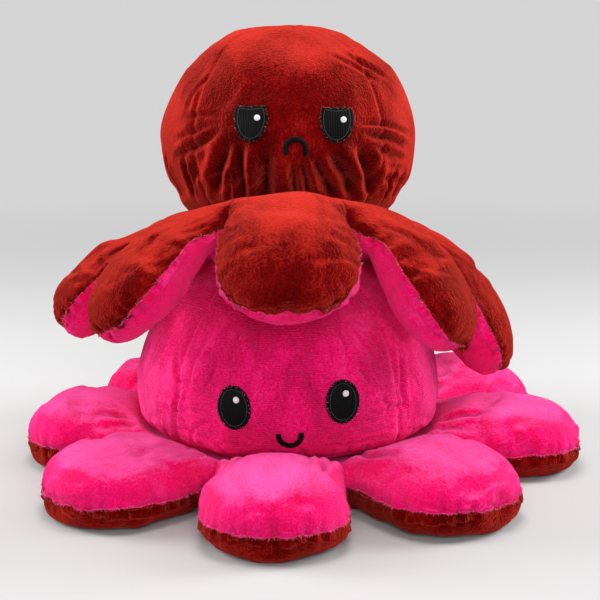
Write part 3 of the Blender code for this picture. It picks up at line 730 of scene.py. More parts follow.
pinkHead = {
    "columns": 420,
    "rows": 209,
    "frontCrowding": 0.55,
    "lumpDepth": 0.0010,
    "lumpSize": 0.07,
    "seamDepth": 0.0013,
    "seamWidth": 0.0018,
    # the crease depth in mm at which the painted crease shade is darkest
    "darkestFold": 9.0,
    # how strongly the head's sides get painted light
    "sideShare": 0.8,
    "creases": [
        ([(3.0, 97), (8.6, 69), (11.7, 55)], 0.9, 1.0),
        ([(6.5, 90), (8.5, 65)], 0.7, 0.9),
        ([(27.0, 60), (34.0, 62), (44.0, 66)], 1.8, 2.0),
        ([(27.0, 84), (32.0, 68)], 1.8, 2.2),
        ([(29.0, 54), (38.0, 55), (47.0, 58)], 1.3, 1.6),
        ([(30.0, 70), (37.0, 74), (45.0, 76)], 1.1, 1.6),
        ([(36.0, 60), (39.0, 50), (38.0, 42)], 1.3, 1.6),
        ([(-12.0, 108), (-13.0, 84)], 1.1, 1.2),
        ([(-16.5, 106), (-18.0, 82)], 0.8, 1.1),
        ([(-21.0, 106), (-24.0, 78)], 1.3, 1.4),
        ([(-26.0, 104), (-29.0, 76), (-31.0, 64)], 1.1, 1.4),
        ([(-30.0, 104), (-34.0, 82)], 1.3, 1.6),
        ([(-36.0, 96), (-39.0, 76), (-38.0, 62)], 1.1, 1.6),
        ([(-7.0, 104), (-6.0, 88)], 0.7, 1.1),
        ([(-2.0, 106), (-1.0, 84)], 0.6, 1.0),
        ([(10.0, 106), (12.0, 88)], 0.8, 1.1),
        ([(15.0, 108), (18.0, 86)], 1.2, 1.3),
        ([(22.0, 106), (24.0, 88)], 1.3, 1.4),
        ([(30.0, 102), (34.0, 88)], 1.2, 1.6),
        ([(38.0, 98), (42.0, 82)], 1.2, 1.8),
        ([(-50.0, 88), (-43.0, 60), (-46.0, 40)], 1.5, 2.0),
        ([(50.0, 90), (47.0, 60), (49.0, 38)], 1.6, 2.0),
        ([(33.0, 40), (42.0, 48), (52.0, 47)], 1.7, 2.0),
        ([(24.0, 34), (33.0, 36), (43.0, 34)], 1.1, 1.5),
        ([(14.0, 28), (24.0, 27), (33.0, 30)], 1.0, 1.4),
        ([(-36.0, 34), (-44.0, 44), (-55.0, 46)], 1.5, 1.8),
        ([(-30.0, 30), (-38.0, 33), (-46.0, 32)], 1.2, 1.5),
        ([(-28.0, 44), (-34.0, 38), (-37.0, 30)], 1.1, 1.4),
        ([(-12.0, 27), (-21.0, 29), (-28.0, 27)], 0.8, 1.3),
        ([(-33.0, 70), (-40.0, 66), (-50.0, 66)], 1.2, 1.6),
        ([(-34.0, 58), (-42.0, 54), (-50.0, 56)], 1.1, 1.5),
        ([(28.0, 66), (35.0, 70), (43.0, 71)], 1.2, 1.1),
        ([(28.0, 50), (35.0, 47), (43.0, 50)], 1.1, 1.1),
        ([(26.0, 46), (32.0, 42), (41.0, 41)], 1.0, 1.1),
        ([(31.0, 80), (36.0, 84), (43.0, 84)], 1.0, 1.2),
        ([(-29.0, 62), (-36.0, 62), (-44.0, 61)], 1.0, 1.1),
        ([(-30.0, 50), (-37.0, 48), (-46.0, 50)], 1.0, 1.1),
        ([(-27.0, 76), (-32.0, 80), (-38.0, 88)], 1.0, 1.2),
        ([(-4.0, 62), (-5.5, 80)], 0.7, 0.9),
        ([(5.0, 48), (2.0, 72)], 0.6, 0.9),
    ],
    "gathers": {"count": 40, "low": 14, "high": (24, 36), "depth": 1.4, "width": 1.8},
    "skipGathers": None,
}

redHead = {
    "columns": 420,
    "rows": 209,
    "frontCrowding": 0.55,
    "lumpDepth": 0.0011,
    "lumpSize": 0.055,
    "seamDepth": 0.0010,
    "seamWidth": 0.0018,
    "darkestFold": 4.4,
    "sideShare": 1.0,
    "creases": [
        ([(-23.0, 6), (-21.0, 26), (-19.0, 50)], 5.4, 3.6),
        ([(-12.0, 6), (-10.0, 26), (-8.5, 46)], 7.4, 5.6),
        ([(4.5, 6), (3.0, 22), (1.5, 37)], 4.4, 2.6),
        ([(11.5, 8), (8.0, 24), (4.5, 38)], 5.4, 3.0),
        ([(24.5, 10), (16.0, 25), (9.0, 40)], 6.2, 3.8),
        ([(35.0, 12), (25.0, 28), (16.0, 42)], 6.0, 4.6),
        ([(48.0, 12), (38.0, 31), (30.0, 49)], 6.8, 5.0),
        ([(-38.0, 14), (-31.0, 32), (-23.5, 49)], 6.2, 4.4),
        ([(-30.5, 8), (-27.0, 22), (-24.0, 34)], 2.6, 2.4),
        ([(-60.0, 40), (-43.0, 47), (-27.0, 59)], 3.0, 2.6),
        ([(-59.0, 66), (-42.0, 69), (-28.0, 68)], 1.1, 1.8),
        ([(-57.0, 54), (-45.0, 57), (-34.0, 61)], 1.4, 1.8),
        ([(29.0, 62), (46.0, 62), (70.0, 57)], 2.2, 1.9),
        ([(31.0, 55), (48.0, 53), (66.0, 48)], 3.6, 2.4),
        ([(36.0, 48), (50.0, 41), (66.0, 39)], 1.8, 2.2),
        ([(50.0, 26), (58.0, 22), (66.0, 24)], 2.2, 2.4),
        ([(36.0, 114), (50.0, 105), (64.0, 96)], 1.9, 2.2),
        ([(24.0, 112), (38.0, 104), (52.0, 92)], 1.0, 2.0),
        ([(-45.0, 30), (-52.0, 22)], 2.4, 2.8),
        ([(-44.0, 100), (-50.0, 84), (-50.0, 70)], 1.2, 2.2),
    ],
    "gathers": {"count": 26, "low": 8, "high": (28, 50), "depth": 3.0, "width": 2.6},
    "skipGathers": (-50.0, 55.0),
}


def headPoints(toy, azimuth, latitude, grow=0.0):
    # azimuth from the front, to the right in the front view
    angle = azimuth - math.pi / 2
    power = np.where(latitude > 0.0, toy["crownPower"], toy["basePower"])
    out = np.abs(np.cos(latitude)) ** (2.0 / power)
    up = np.sign(latitude) * np.abs(np.sin(latitude)) ** (2.0 / power)
    plan = (np.abs(np.cos(angle)) ** 2.12 + np.abs(np.sin(angle)) ** 2.12) ** (-1.0 / 2.12)
    reach = np.where(latitude > 0.0, toy["headRise"], toy["headFall"])
    radius = (toy["headRadius"] * (1.0 + (plan - 1.0) * out) + grow) * out
    height = toy["headLift"] + (reach + grow) * up + 0.0 * angle
    return np.stack((radius * np.cos(angle), radius * np.sin(angle), height), -1)


def creaseShare(azimuth, height, radius, line, width):
    # a valley with a low ridge on each side, fading at its ends
    nearest = np.full(len(azimuth), 1e9)
    along = np.zeros(len(azimuth))
    total = 0.0
    pieces = []
    for (a0, z0), (a1, z1) in zip(line, line[1:]):
        length = math.hypot(math.radians(a1 - a0) * radius, z1 - z0)
        pieces.append((a0, z0, a1, z1, length))
        total += length
    walked = 0.0
    for a0, z0, a1, z1, length in pieces:
        turned = np.radians((azimuth - a0 + 180.0) % 360.0 - 180.0) * radius
        end = np.array((math.radians(a1 - a0) * radius, z1 - z0))
        share = np.clip((turned * end[0] + (height - z0) * end[1]) / (length * length), 0.0, 1.0)
        gap = np.hypot(turned - share * end[0], height - z0 - share * end[1])
        closer = gap < nearest
        nearest = np.where(closer, gap, nearest)
        along = np.where(closer, (walked + share * length) / total, along)
        walked += length
    taper = smooth(along / 0.25) * smooth((1.0 - along) / 0.3) * 0.85 + 0.15
    taper *= np.exp(-((np.maximum(nearest - 3.0 * width, 0.0) / width) ** 2))
    valley = np.exp(-((nearest / width) ** 2))
    ridge = np.exp(-(((nearest - 2.1 * width) / (1.1 * width)) ** 2))
    return (0.38 * ridge - valley) * taper, valley * taper


def sphereFaces(rows, columns):
    # a grid of rings from the base up, closed by the two poles that follow it
    bottom, top = rows * columns, rows * columns + 1
    faces = []
    for c in range(columns):
        n = (c + 1) % columns
        for r in range(rows - 1):
            faces.append((r * columns + c, r * columns + n, (r + 1) * columns + n, (r + 1) * columns + c))
        faces.append((bottom, n, c))
        faces.append((top, (rows - 1) * columns + c, (rows - 1) * columns + n))
    return faces


def layHead(toy, settings):
    even = np.linspace(-math.pi, math.pi, settings["columns"], endpoint=False)
    azimuths = even - settings["frontCrowding"] * np.sin(even)
    latitudes = np.linspace(-math.pi / 2, math.pi / 2, settings["rows"] + 2)[1:-1]
    poles = headPoints(toy, np.zeros(2), np.array((-math.pi / 2, math.pi / 2)))
    return {"toy": toy, "settings": settings, "grid": headPoints(toy, azimuths[None, :], latitudes[:, None]), "poles": poles}


layouts = {"pink": layHead(pinkToy, pinkHead), "red": layHead(redToy, redHead)}

# ---- the cloth settles: coarse copies of every padded piece are filled under pressure, and the fine
# meshes take over how each place of the coarse ones moved

simulation = {
    "step": 1,
    "headStep": 4,
    "pressure": 4.0,
    "slackShare": 0.07,
    "seamShrink": 0.11,
    "frames": 20,
    "quality": 5,
    "bending": 0.01,
    "tension": 10.0,
    "mostMove": 0.003,
    "mostHeadMove": 0.0016,
    "keptInflation": 0.15,
    "inflationBlur": 24,
}


def coarseObject(name, mesh, points, held, sewn):
    mesh.vertices.foreach_set("co", points.astype(np.float32).ravel())
    mesh.update()
    made = makeObject(name, mesh, [])
    for label, weights in (("held", held), ("sewn", sewn)):
        group = made.vertex_groups.new(name=label)
        for index in np.flatnonzero(weights > 0.01):
            group.add([int(index)], float(weights[index]), "REPLACE")
    cloth = made.modifiers.new("cloth", "CLOTH")
    settings = cloth.settings
    settings.quality = simulation["quality"]
    settings.mass = 0.2
    settings.tension_stiffness = settings.compression_stiffness = simulation["tension"]
    settings.shear_stiffness = simulation["tension"] * 0.4
    settings.bending_stiffness = simulation["bending"]
    settings.use_pressure = True
    settings.uniform_pressure_force = simulation["pressure"]
    settings.vertex_group_shrink = "sewn"
    settings.shrink_min = -simulation["slackShare"]
    settings.shrink_max = simulation["seamShrink"]
    settings.vertex_group_mass = "held"
    settings.effector_weights.gravity = 0.0
    cloth.collision_settings.use_collision = False
    cloth.collision_settings.use_self_collision = False
    return made


def blurred(grid, rounds, ring):
    # averages each place with its neighbours; a ring closes on itself along the second axis
    for _ in range(rounds):
        padded = np.pad(grid, ((1, 1), (0, 0), (0, 0)), "edge")
        grid = (padded[:-2] + 2.0 * padded[1:-1] + padded[2:]) / 4.0
        padded = np.pad(grid, ((0, 0), (1, 1), (0, 0)), "wrap" if ring else "edge")
        grid = (padded[:, :-2] + 2.0 * padded[:, 1:-1] + padded[:, 2:]) / 4.0
    return grid


def wrinkles(moved, ring):
    # keeps the creases and little of the overall swelling or shrinking, and no move above the limit
    limit = simulation["mostHeadMove"] if ring else simulation["mostMove"]
    if not ring:
        across = np.linspace(0.0, 1.0, moved.shape[1])[None, :, None]
        left, right = (blurred(moved[:, column : column + 1], 14, False) for column in (0, moved.shape[1] - 1))
        moved = moved - left * (1.0 - across) - right * across
    kept = moved - (1.0 - simulation["keptInflation"]) * blurred(moved, simulation["inflationBlur"], ring)
    length = np.linalg.norm(kept, axis=-1, keepdims=True)
    return kept * limit * np.tanh(length / limit) / np.maximum(length, 1e-9)


def refined(moved, rows, columns, step, ring):
    # the coarse grid's moves spread over the fine grid
    if ring:
        moved = np.concatenate((moved, moved[:, :1]), 1)
    rowAt = np.minimum(np.arange(rows) / step, moved.shape[0] - 1.001)
    columnAt = np.minimum(np.arange(columns) / step, moved.shape[1] - 1.001)
    r, c = rowAt.astype(int), columnAt.astype(int)
    u, v = (rowAt - r)[:, None, None], (columnAt - c)[None, :, None]
    fine = (moved[r][:, c] * (1 - u) + moved[r + 1][:, c] * u) * (1 - v) + (moved[r][:, c + 1] * (1 - u) + moved[r + 1][:, c + 1] * u) * v
    return blurred(fine, step, ring)


def settle():
    scene = bpy.context.scene
    jobs = []
    step = simulation["step"]
    neckRows = starMesh["neckRows"] // step
    for lobe in lobes:
        top, sole = lobe["top"][::step, ::step], lobe["sole"][::step, ::step]
        mesh, places = wedgeMesh(top, sole, neckRows)
        rowOf = np.zeros(len(mesh.vertices))
        for half in places:
            rowOf[half] = np.arange(half.shape[0])[:, None]
        held = 1.0 - smooth((rowOf - neckRows + 2.0) / 6.0)
        sewn = np.zeros(len(mesh.vertices))
        for half in places:
            for column, weight in ((1, 0.5), (-2, 0.5), (0, 1.0), (-1, 1.0)):
                sewn[half[neckRows:, column]] = weight
            sewn[half[-2:]] = 1.0
        jobs.append((lobe, coarseObject("coarseLobe", mesh, pointsOf(mesh), held, sewn), places))
    step = simulation["headStep"]
    for layout in layouts.values():
        grid = layout["grid"][::step, ::step]
        points = np.concatenate((grid.reshape(-1, 3), layout["poles"]))
        mesh = bpy.data.meshes.new("coarseHead")
        mesh.from_pydata(points.tolist(), [], sphereFaces(*grid.shape[:2]))
        held = 1.0 - smooth((points[:, 2] - 0.004) / 0.016)
        turns = np.abs(np.sin(2.0 * np.arctan2(points[:, 1], points[:, 0])))
        sewn = np.maximum(smooth((turns - 0.985) / 0.015), 1.0 - smooth((points[:, 2] - 0.012) / 0.020))
        jobs.append((layout, coarseObject("coarseHead", mesh, points, held, sewn), None))
    scene.frame_start, scene.frame_end = 1, simulation["frames"]
    for number in range(1, simulation["frames"] + 1):
        scene.frame_set(number)
    graph = bpy.context.evaluated_depsgraph_get()
    widest = 0.0
    for entry, made, places in jobs:
        settled = bpy.data.meshes.new_from_object(made.evaluated_get(graph))
        moved = pointsOf(settled) - pointsOf(made.data)
        widest = max(widest, np.abs(moved).max())
        if places is None:
            rows, columns = entry["grid"].shape[:2]
            coarse = moved[:-2].reshape(-1, columns // step, 3)
            entry["grid"] = entry["grid"] + refined(wrinkles(coarse, True), rows, columns, step, True)
        else:
            for key, half in zip(("top", "sole"), places):
                rows, columns = entry[key].shape[:2]
                fine = refined(wrinkles(moved[half], False), rows, columns, simulation["step"], False)
                fine *= smooth((np.arange(rows) - starMesh["neckRows"]) / 10.0)[:, None, None]
                entry[key] = entry[key] + fine
        coarse = made.data
        bpy.data.objects.remove(made, do_unlink=True)
        bpy.data.meshes.remove(settled)
        bpy.data.meshes.remove(coarse)
    scene.frame_set(1)
    print("cloth settled, widest move in mm:", round(widest * 1000, 2))


settle()
for lobe in lobes:
    makeWedge(lobe)
print("stars made:", sum(len(lobe["piece"].data.polygons) for lobe in lobes), "faces")


def makeHead(layout, seed):
    toy, settings = layout["toy"], layout["settings"]
    points = np.concatenate((layout["grid"].reshape(-1, 3), layout["poles"]))
    mesh = bpy.data.meshes.new(f"{toy['name']}Head")
    mesh.from_pydata(points.tolist(), [], sphereFaces(*layout["grid"].shape[:2]))
    mesh.update()
    normals = normalsOf(mesh)
    azimuth = np.degrees(np.arctan2(points[:, 0], -points[:, 1]))
    height = points[:, 2] * 1000.0
    radius = toy["headRadius"] * 1000.0
    around = np.hypot(points[:, 0], points[:, 1])
    onSide = smooth((around - 0.012) / 0.02)
    move = settings["lumpDepth"] * lumps(points, seed, settings["lumpSize"])
    for corner in (-135.0, -45.0, 45.0, 135.0):
        gap = np.abs((azimuth - corner + 180.0) % 360.0 - 180.0)
        gap = np.sin(np.radians(np.minimum(gap, 90.0))) * around
        move -= settings["seamDepth"] * np.exp(-((gap / settings["seamWidth"]) ** 2))
        move += settings["seamDepth"] * 0.3 * np.exp(-(((gap - 0.006) / 0.004) ** 2))
    creases = list(settings["creases"])
    rng = np.random.default_rng(seed + 40)
    gathers = settings["gathers"]
    for index in range(gathers["count"]):
        turn = 360.0 * (index + rng.uniform(-0.3, 0.3)) / gathers["count"] - 180.0
        skip = settings["skipGathers"]
        high = rng.uniform(*gathers["high"])
        lean = rng.uniform(-5.0, 5.0)
        depth = gathers["depth"] * rng.uniform(0.5, 1.1)
        width = gathers["width"] * rng.uniform(0.8, 1.2)
        if skip is None or not skip[0] < turn < skip[1]:
            creases.append(([(turn, gathers["low"]), (turn + lean, high)], depth, width))
    # painted shade: darker colour along the crease valleys, fullest at the given depth
    fold = np.zeros(len(points))
    for line, depth, width in creases:
        relief, valley = creaseShare(azimuth, height, radius, line, width)
        move += depth / 1000.0 * relief * onSide
        fold = np.maximum(fold, valley * min(1.0, depth / settings["darkestFold"]) * onSide)
    cut = points.copy()
    points = points + normals * move[:, None]
    points = intoWorld(toy, points)
    mesh.vertices.foreach_set("co", points.astype(np.float32).ravel())
    setVector(mesh, "clothPlace", cut)
    setVector(mesh, "clothStroke", cut * np.array((1.0, 1.0, starMesh["strokeStretch"])))
    setShare(mesh, "clothFold", fold)
    for face in mesh.polygons:
        face.use_smooth = True
    mesh.update()
    # painted light: surfaces facing up, and on the heads those facing out to the two sides, get a mask that lightens
    # them towards the raised colour
    facing = normalsOf(mesh)
    side = settings["sideShare"] * smooth((np.abs(facing[:, 0]) - 0.60) / 0.35)
    setShare(mesh, "clothCrown", np.maximum(smooth((facing[:, 2] - 0.50) / 0.50), side))
    return makeObject(mesh.name, mesh, [toy["headCloth"]])


heads = {"pink": makeHead(layouts["pink"], 11), "red": makeHead(layouts["red"], 12)}
print("heads made:", sum(len(head.data.polygons) for head in heads.values()), "faces")

# ---- the pouches inside the heads, the same cloth as the other toy's outside

pouches = {
    "pink": {"radius": 0.064, "top": 0.104, "neckHeight": 0.0, "mouth": (0.0547, -0.00975), "neckWall": 0.0535},
    "red": {"radius": 0.064, "top": 0.088, "neckHeight": -0.026, "mouth": (0.0527, -0.030), "neckWall": 0.0515},
}
pouchMesh = {"columns": 144, "domeRows": 26, "wallRows": 36, "skin": 0.0025, "domeShare": 0.75}


def pouchLine(settings):
    middle = settings["top"] - settings["radius"] * pouchMesh["domeShare"]
    line = []
    for row in range(pouchMesh["domeRows"] + 1):
        angle = math.pi / 2 * (1.0 - row / pouchMesh["domeRows"])
        line.append((settings["radius"] * math.cos(angle), middle + (settings["top"] - middle) * math.sin(angle)))
    line[0] = (0.0, settings["top"])
    for row in range(1, pouchMesh["wallRows"] + 1):
        share = row / pouchMesh["wallRows"]
        ease = (1.0 - math.cos(math.pi * share)) / 2
        line.append(
            (
                settings["radius"] + (settings["neckWall"] - settings["radius"]) * ease,
                middle + (settings["neckHeight"] - middle) * share,
            )
        )
    line.append(settings["mouth"])
    return line


def makePouch(toy, settings, seed):
    inner = np.array(pouchLine(settings))
    along = np.gradient(inner, axis=0)
    along /= np.linalg.norm(along, axis=1)[:, None]
    side = np.stack((-along[:, 1], along[:, 0]), -1)
    side[0] = (0.0, 1.0)
    outer = inner + side * pouchMesh["skin"]
    outer[0, 0] = 0.0
    columns = pouchMesh["columns"]
    angles = np.linspace(0.0, 2 * math.pi, columns, endpoint=False)
    rings = []
    for line, soft in ((inner, 1.0), (outer[::-1], 0.0)):
        for radius, height in line:
            if radius > 1e-9:
                fold = soft * 0.0009 * np.sin(angles * 11 + 40.0 * height + 1.7 * np.sin(angles * 3 + seed))
                fold *= smooth((settings["top"] - height) / 0.04)
                ring = radius - np.abs(fold) * (1.0 if soft else 0.0)
                rings.append(np.stack((ring * np.cos(angles), ring * np.sin(angles), np.full(columns, height)), -1))
    rings = np.array(rings)
    points = np.concatenate((rings.reshape(-1, 3), [(0.0, 0.0, inner[0, 1]), (0.0, 0.0, outer[0, 1])]))
    count = len(rings)
    innerPole, outerPole = len(points) - 2, len(points) - 1
    faces = []
    for r in range(count - 1):
        for c in range(columns):
            n = (c + 1) % columns
            faces.append((r * columns + c, r * columns + n, (r + 1) * columns + n, (r + 1) * columns + c))
    for c in range(columns):
        n = (c + 1) % columns
        faces.append((innerPole, n, c))
        faces.append((outerPole, (count - 1) * columns + c, (count - 1) * columns + n))
    mesh = bpy.data.meshes.new(f"{toy['name']}Pouch")
    mesh.from_pydata(intoWorld(toy, points).tolist(), [], faces)
    bm = bmesh.new()
    bm.from_mesh(mesh)
    bm.normal_update()
    bmesh.ops.recalc_face_normals(bm, faces=bm.faces)
    for face in bm.faces:
        face.smooth = True
    bm.to_mesh(mesh)
    bm.free()
    setVector(mesh, "clothPlace", pointsOf(mesh))
    setVector(mesh, "clothStroke", pointsOf(mesh))
    return makeObject(mesh.name, mesh, toy["cloths"][1:])


pouchPieces = {
    "pink": makePouch(pinkToy, pouches["pink"], 1.0),
    "red": makePouch(redToy, pouches["red"], 2.0),
}
print("pouches made")

# ---- Geometry Nodes: threads along paths, and stitches or tufts set at an even spacing on a path


def newGeometryTree(name, inputs):
    tree = bpy.data.node_groups.new(name, "GeometryNodeTree")
    tree.interface.new_socket("Geometry", in_out="INPUT", socket_type="NodeSocketGeometry")
    for label, kind, value in inputs:
        socket = tree.interface.new_socket(label, in_out="INPUT", socket_type=kind)
        if value is not None:
            socket.default_value = value
    tree.interface.new_socket("Geometry", in_out="OUTPUT", socket_type="NodeSocketGeometry")
    bench = nodeBench(tree)
    entry = tree.nodes.new("NodeGroupInput")
    return tree, bench, {socket.name: nodeLink(bench, socket) for socket in entry.outputs if socket.name}


def finishTree(bench, shape, material):
    real = bench.node("GeometryNodeRealizeInstances", {}, {"Geometry": shape})
    even = bench.node("GeometryNodeSetShadeSmooth", {}, {"Geometry": real})
    painted = bench.node("GeometryNodeSetMaterial", {}, {"Geometry": even, "Material": material})
    bench.tree.links.new(painted.socket, bench.tree.nodes.new("NodeGroupOutput").inputs[0])


def makeThreadTree():
    tree, bench, given = newGeometryTree(
        "threadsAlongPaths",
        (("threadRadius", "NodeSocketFloat", 0.0003), ("threadSides", "NodeSocketInt", 6), ("cloth", "NodeSocketMaterial", None)),
    )
    path = bench.node("GeometryNodeMeshToCurve", {}, {"Mesh": given["Geometry"]})
    section = bench.node(
        "GeometryNodeCurvePrimitiveCircle", {}, {"Resolution": given["threadSides"], "Radius": given["threadRadius"]}
    )
    tube = bench.node("GeometryNodeCurveToMesh", {}, {"Curve": path, "Profile Curve": section, "Fill Caps": True})
    finishTree(bench, tube, given["cloth"])
    return tree


def makeTuftTree():
    tree, bench, given = newGeometryTree(
        "tuftsOnPath",
        (
            ("spacing", "NodeSocketFloat", 0.001),
            ("tuftLength", "NodeSocketFloat", 0.002),
            ("tuftWidth", "NodeSocketFloat", 0.0003),
            ("scatter", "NodeSocketFloat", 0.5),
            ("seed", "NodeSocketInt", 1),
            ("cloth", "NodeSocketMaterial", None),
        ),
    )
    path = bench.node("GeometryNodeMeshToCurve", {}, {"Mesh": given["Geometry"]})
    evenly = bench.node("GeometryNodeResampleCurve", {"mode": "LENGTH"}, {"Curve": path, "Length": given["spacing"]})
    tuft = bench.node(
        "GeometryNodeMeshCone",
        {"fill_type": "NGON"},
        {"Vertices": 4, "Side Segments": 1, "Radius Top": 0.12, "Radius Bottom": 1.0, "Depth": 1.0},
    )
    lie = bench.node("GeometryNodeInputNamedAttribute", {"data_type": "FLOAT_VECTOR"}, {"Name": "lie"})
    stray = bench.node(
        "FunctionNodeRandomValue",
        {"data_type": "FLOAT_VECTOR"},
        {0: (-1.0, -1.0, -1.0), 1: (1.0, 1.0, 1.0), "Seed": given["seed"]},
    )
    stray = bench.node("ShaderNodeVectorMath", {"operation": "SCALE"}, {0: stray, "Scale": given["scatter"]})
    lean = bench.node("ShaderNodeVectorMath", {"operation": "ADD"}, {0: lie, 1: stray})
    turn = bench.node("FunctionNodeAlignRotationToVector", {"axis": "Z"}, {"Vector": lean})
    uneven = bench.node(
        "FunctionNodeRandomValue", {"data_type": "FLOAT"}, {2: 0.55, 3: 1.25, "Seed": given["seed"]}, 1
    )
    size = bench.node(
        "ShaderNodeCombineXYZ", {}, {0: given["tuftWidth"], 1: given["tuftWidth"], 2: given["tuftLength"]}
    )
    size = bench.node("ShaderNodeVectorMath", {"operation": "SCALE"}, {0: size, "Scale": uneven})
    placed = bench.node(
        "GeometryNodeInstanceOnPoints", {}, {"Points": evenly, "Instance": tuft, "Rotation": turn, "Scale": size}
    )
    finishTree(bench, placed, given["cloth"])
    return tree


threadTree = makeThreadTree()
tuftTree = makeTuftTree()


def pathObject(name, paths, lies=None):
    # paths as loose edges, each vertex with the way its stitch lies
    points, edges, ways = [], [], []
    for index, path in enumerate(paths):
        first = len(points)
        points.extend([tuple(point) for point in path])
        edges.extend((first + k, first + k + 1) for k in range(len(path) - 1))
        if lies is not None:
            ways.extend([tuple(way) for way in lies[index]])
    mesh = bpy.data.meshes.new(name)
    mesh.from_pydata(points, edges, [])
    if lies is not None:
        setVector(mesh, "lie", ways)
    return makeObject(name, mesh, [])


def grownMesh(source, tree, values):
    modifier = source.modifiers.new("grow", "NODES")
    modifier.node_group = tree
    for item in tree.interface.items_tree:
        if item.item_type == "SOCKET" and item.in_out == "INPUT" and item.name in values:
            modifier[item.identifier] = values[item.name]
    bpy.context.view_layer.update()
    graph = bpy.context.evaluated_depsgraph_get()
    mesh = bpy.data.meshes.new_from_object(source.evaluated_get(graph))
    source.modifiers.clear()
    bpy.data.objects.remove(source, do_unlink=True)
    return mesh


def joinedObject(name, meshes, materials):
    # one plain mesh, each part with the material of its place in the list
    bm = bmesh.new()
    for index, mesh in enumerate(meshes):
        start = len(bm.faces)
        bm.from_mesh(mesh)
        bm.faces.ensure_lookup_table()
        for face in bm.faces[start:]:
            face.material_index = index
            face.smooth = True
    made = bpy.data.meshes.new(name)
    bm.to_mesh(made)
    bm.free()
    return makeObject(name, made, materials)


# ---- embroidered faces: a padded shape under rows of thread, with a stitched border

faces = {
    "pinkOuter": {
        "toy": pinkToy, "mood": "smile", "spread": 0.0374, "eyeUp": 0.0570, "mouthUp": 0.0368,
        "eyeHalf": (0.0114, 0.0147), "glint": (0.0021, 0.0055), "shift": 0.0006, "roll": 3.0, "mouth": (0.0078, 0.0018),
        "mouthAside": 0.0,
    },
    "redOuter": {
        "toy": redToy, "mood": "frown", "spread": 0.0296, "eyeUp": 0.0650, "mouthUp": 0.0438,
        "eyeHalf": (0.0118, 0.0165), "glint": (0.0045, -0.0002), "shift": 0.0043, "roll": -1.0, "mouth": (0.0068, 0.0042),
        "mouthAside": 0.0016,
    },
    "pinkHidden": {
        "toy": pinkToy, "mood": "frown", "spread": 0.0260, "eyeUp": 0.0660, "mouthUp": 0.0460,
        "eyeHalf": (0.0118, 0.0165), "glint": (0.0045, -0.0002), "shift": 0.0, "roll": 0.0, "mouth": (0.0068, 0.0042),
        "mouthAside": 0.0,
    },
    "redHidden": {
        "toy": redToy, "mood": "smile", "spread": 0.0260, "eyeUp": 0.0400, "mouthUp": 0.0200,
        "eyeHalf": (0.0114, 0.0147), "glint": (0.0021, 0.0055), "shift": 0.0, "roll": 0.0, "mouth": (0.0078, 0.0018),
        "mouthAside": 0.0,
    },
}
stitching = {
    "threadRadius": 0.00030,
    "ribRadius": 0.00062,
    "ribSpacing": 0.00118,
    "padRise": 0.0009,
    "lowest": 0.0003,
    "borderWidth": 0.0024,
    "borderSpacing": 0.00052,
    "edgeLift": 0.0009,
    "edgeRadius": 0.00020,
    "mouthStroke": 0.0035,
    "glintRadius": 0.0021,
    "fringeSpacing": 0.0010,
    "fringeLength": 0.0021,
    "fringeWidth": 0.00030,
    "lidShare": 0.50,
    "lidSlant": 0.02,
}


def surfaceFinder(toy, made, settings, outside):
    # where the straight line back from the front meets the cloth, in the toy's own frame, and its normal there
    matrix = toy["place"].inverted()
    mesh = made.data
    points = [matrix @ vertex.co for vertex in mesh.vertices]
    tree = BVHTree.FromPolygons(points, [tuple(face.vertices) for face in mesh.polygons])
    roll, middle = math.radians(settings["roll"]), settings["eyeUp"]

    def find(x, z):
        # the face is set a little off centre and turned, as the sewing left it
        across = settings["shift"] + x * math.cos(roll) - (z - middle) * math.sin(roll)
        up = middle + x * math.sin(roll) + (z - middle) * math.cos(roll)
        if outside:
            hit = tree.ray_cast(Vector((across, -0.3, up)), Vector((0.0, 1.0, 0.0)))
        else:
            hit = tree.ray_cast(Vector((across, 0.0, up)), Vector((0.0, -1.0, 0.0)))
        normal = hit[1] if (hit[1].y < 0.0) == outside else -hit[1]
        return hit[0], normal

    return find


def onCloth(find, across, up, rise):
    point, normal = find(across, up)
    return point + normal * rise


def eyeEdge(settings, angle):
    half, tall = settings["eyeHalf"]
    right, up = half * math.cos(angle), tall * math.sin(angle)
    if settings["mood"] == "frown":
        up = min(up, tall * (stitching["lidShare"] + stitching["lidSlant"] * right / half))
    return right, up


def paddedPatch(find, toy, outline, centre, rise, rings=7):
    # a low dome over the outline, closed by its own edge on the cloth
    bm = bmesh.new()
    rows = []
    for ring in range(1, rings + 1):
        share = ring / rings
        lift = stitching["lowest"] + rise * math.sqrt(max(0.0, 1.0 - share**3))
        row = []
        for across, up in outline:
            x = centre[0] + across * share
            z = centre[1] + up * share
            row.append(bm.verts.new(toy["place"] @ onCloth(find, x, z, lift)))
        rows.append(row)
    row = []
    for across, up in outline:
        row.append(bm.verts.new(toy["place"] @ onCloth(find, centre[0] + across, centre[1] + up, -0.0006)))
    rows.append(row)
    middle = bm.verts.new(toy["place"] @ onCloth(find, centre[0], centre[1], stitching["lowest"] + rise))
    under = bm.verts.new(toy["place"] @ onCloth(find, centre[0], centre[1], -0.0006))
    count = len(outline)
    for k in range(count):
        n = (k + 1) % count
        bm.faces.new((middle, rows[0][k], rows[0][n]))
        bm.faces.new((under, rows[-1][n], rows[-1][k]))
        for inner, outer in zip(rows, rows[1:]):
            bm.faces.new((inner[k], outer[k], outer[n], inner[n]))
    bm.normal_update()
    bmesh.ops.recalc_face_normals(bm, faces=bm.faces)
    mesh = bpy.data.meshes.new("pad")
    bm.to_mesh(mesh)
    bm.free()
    return mesh


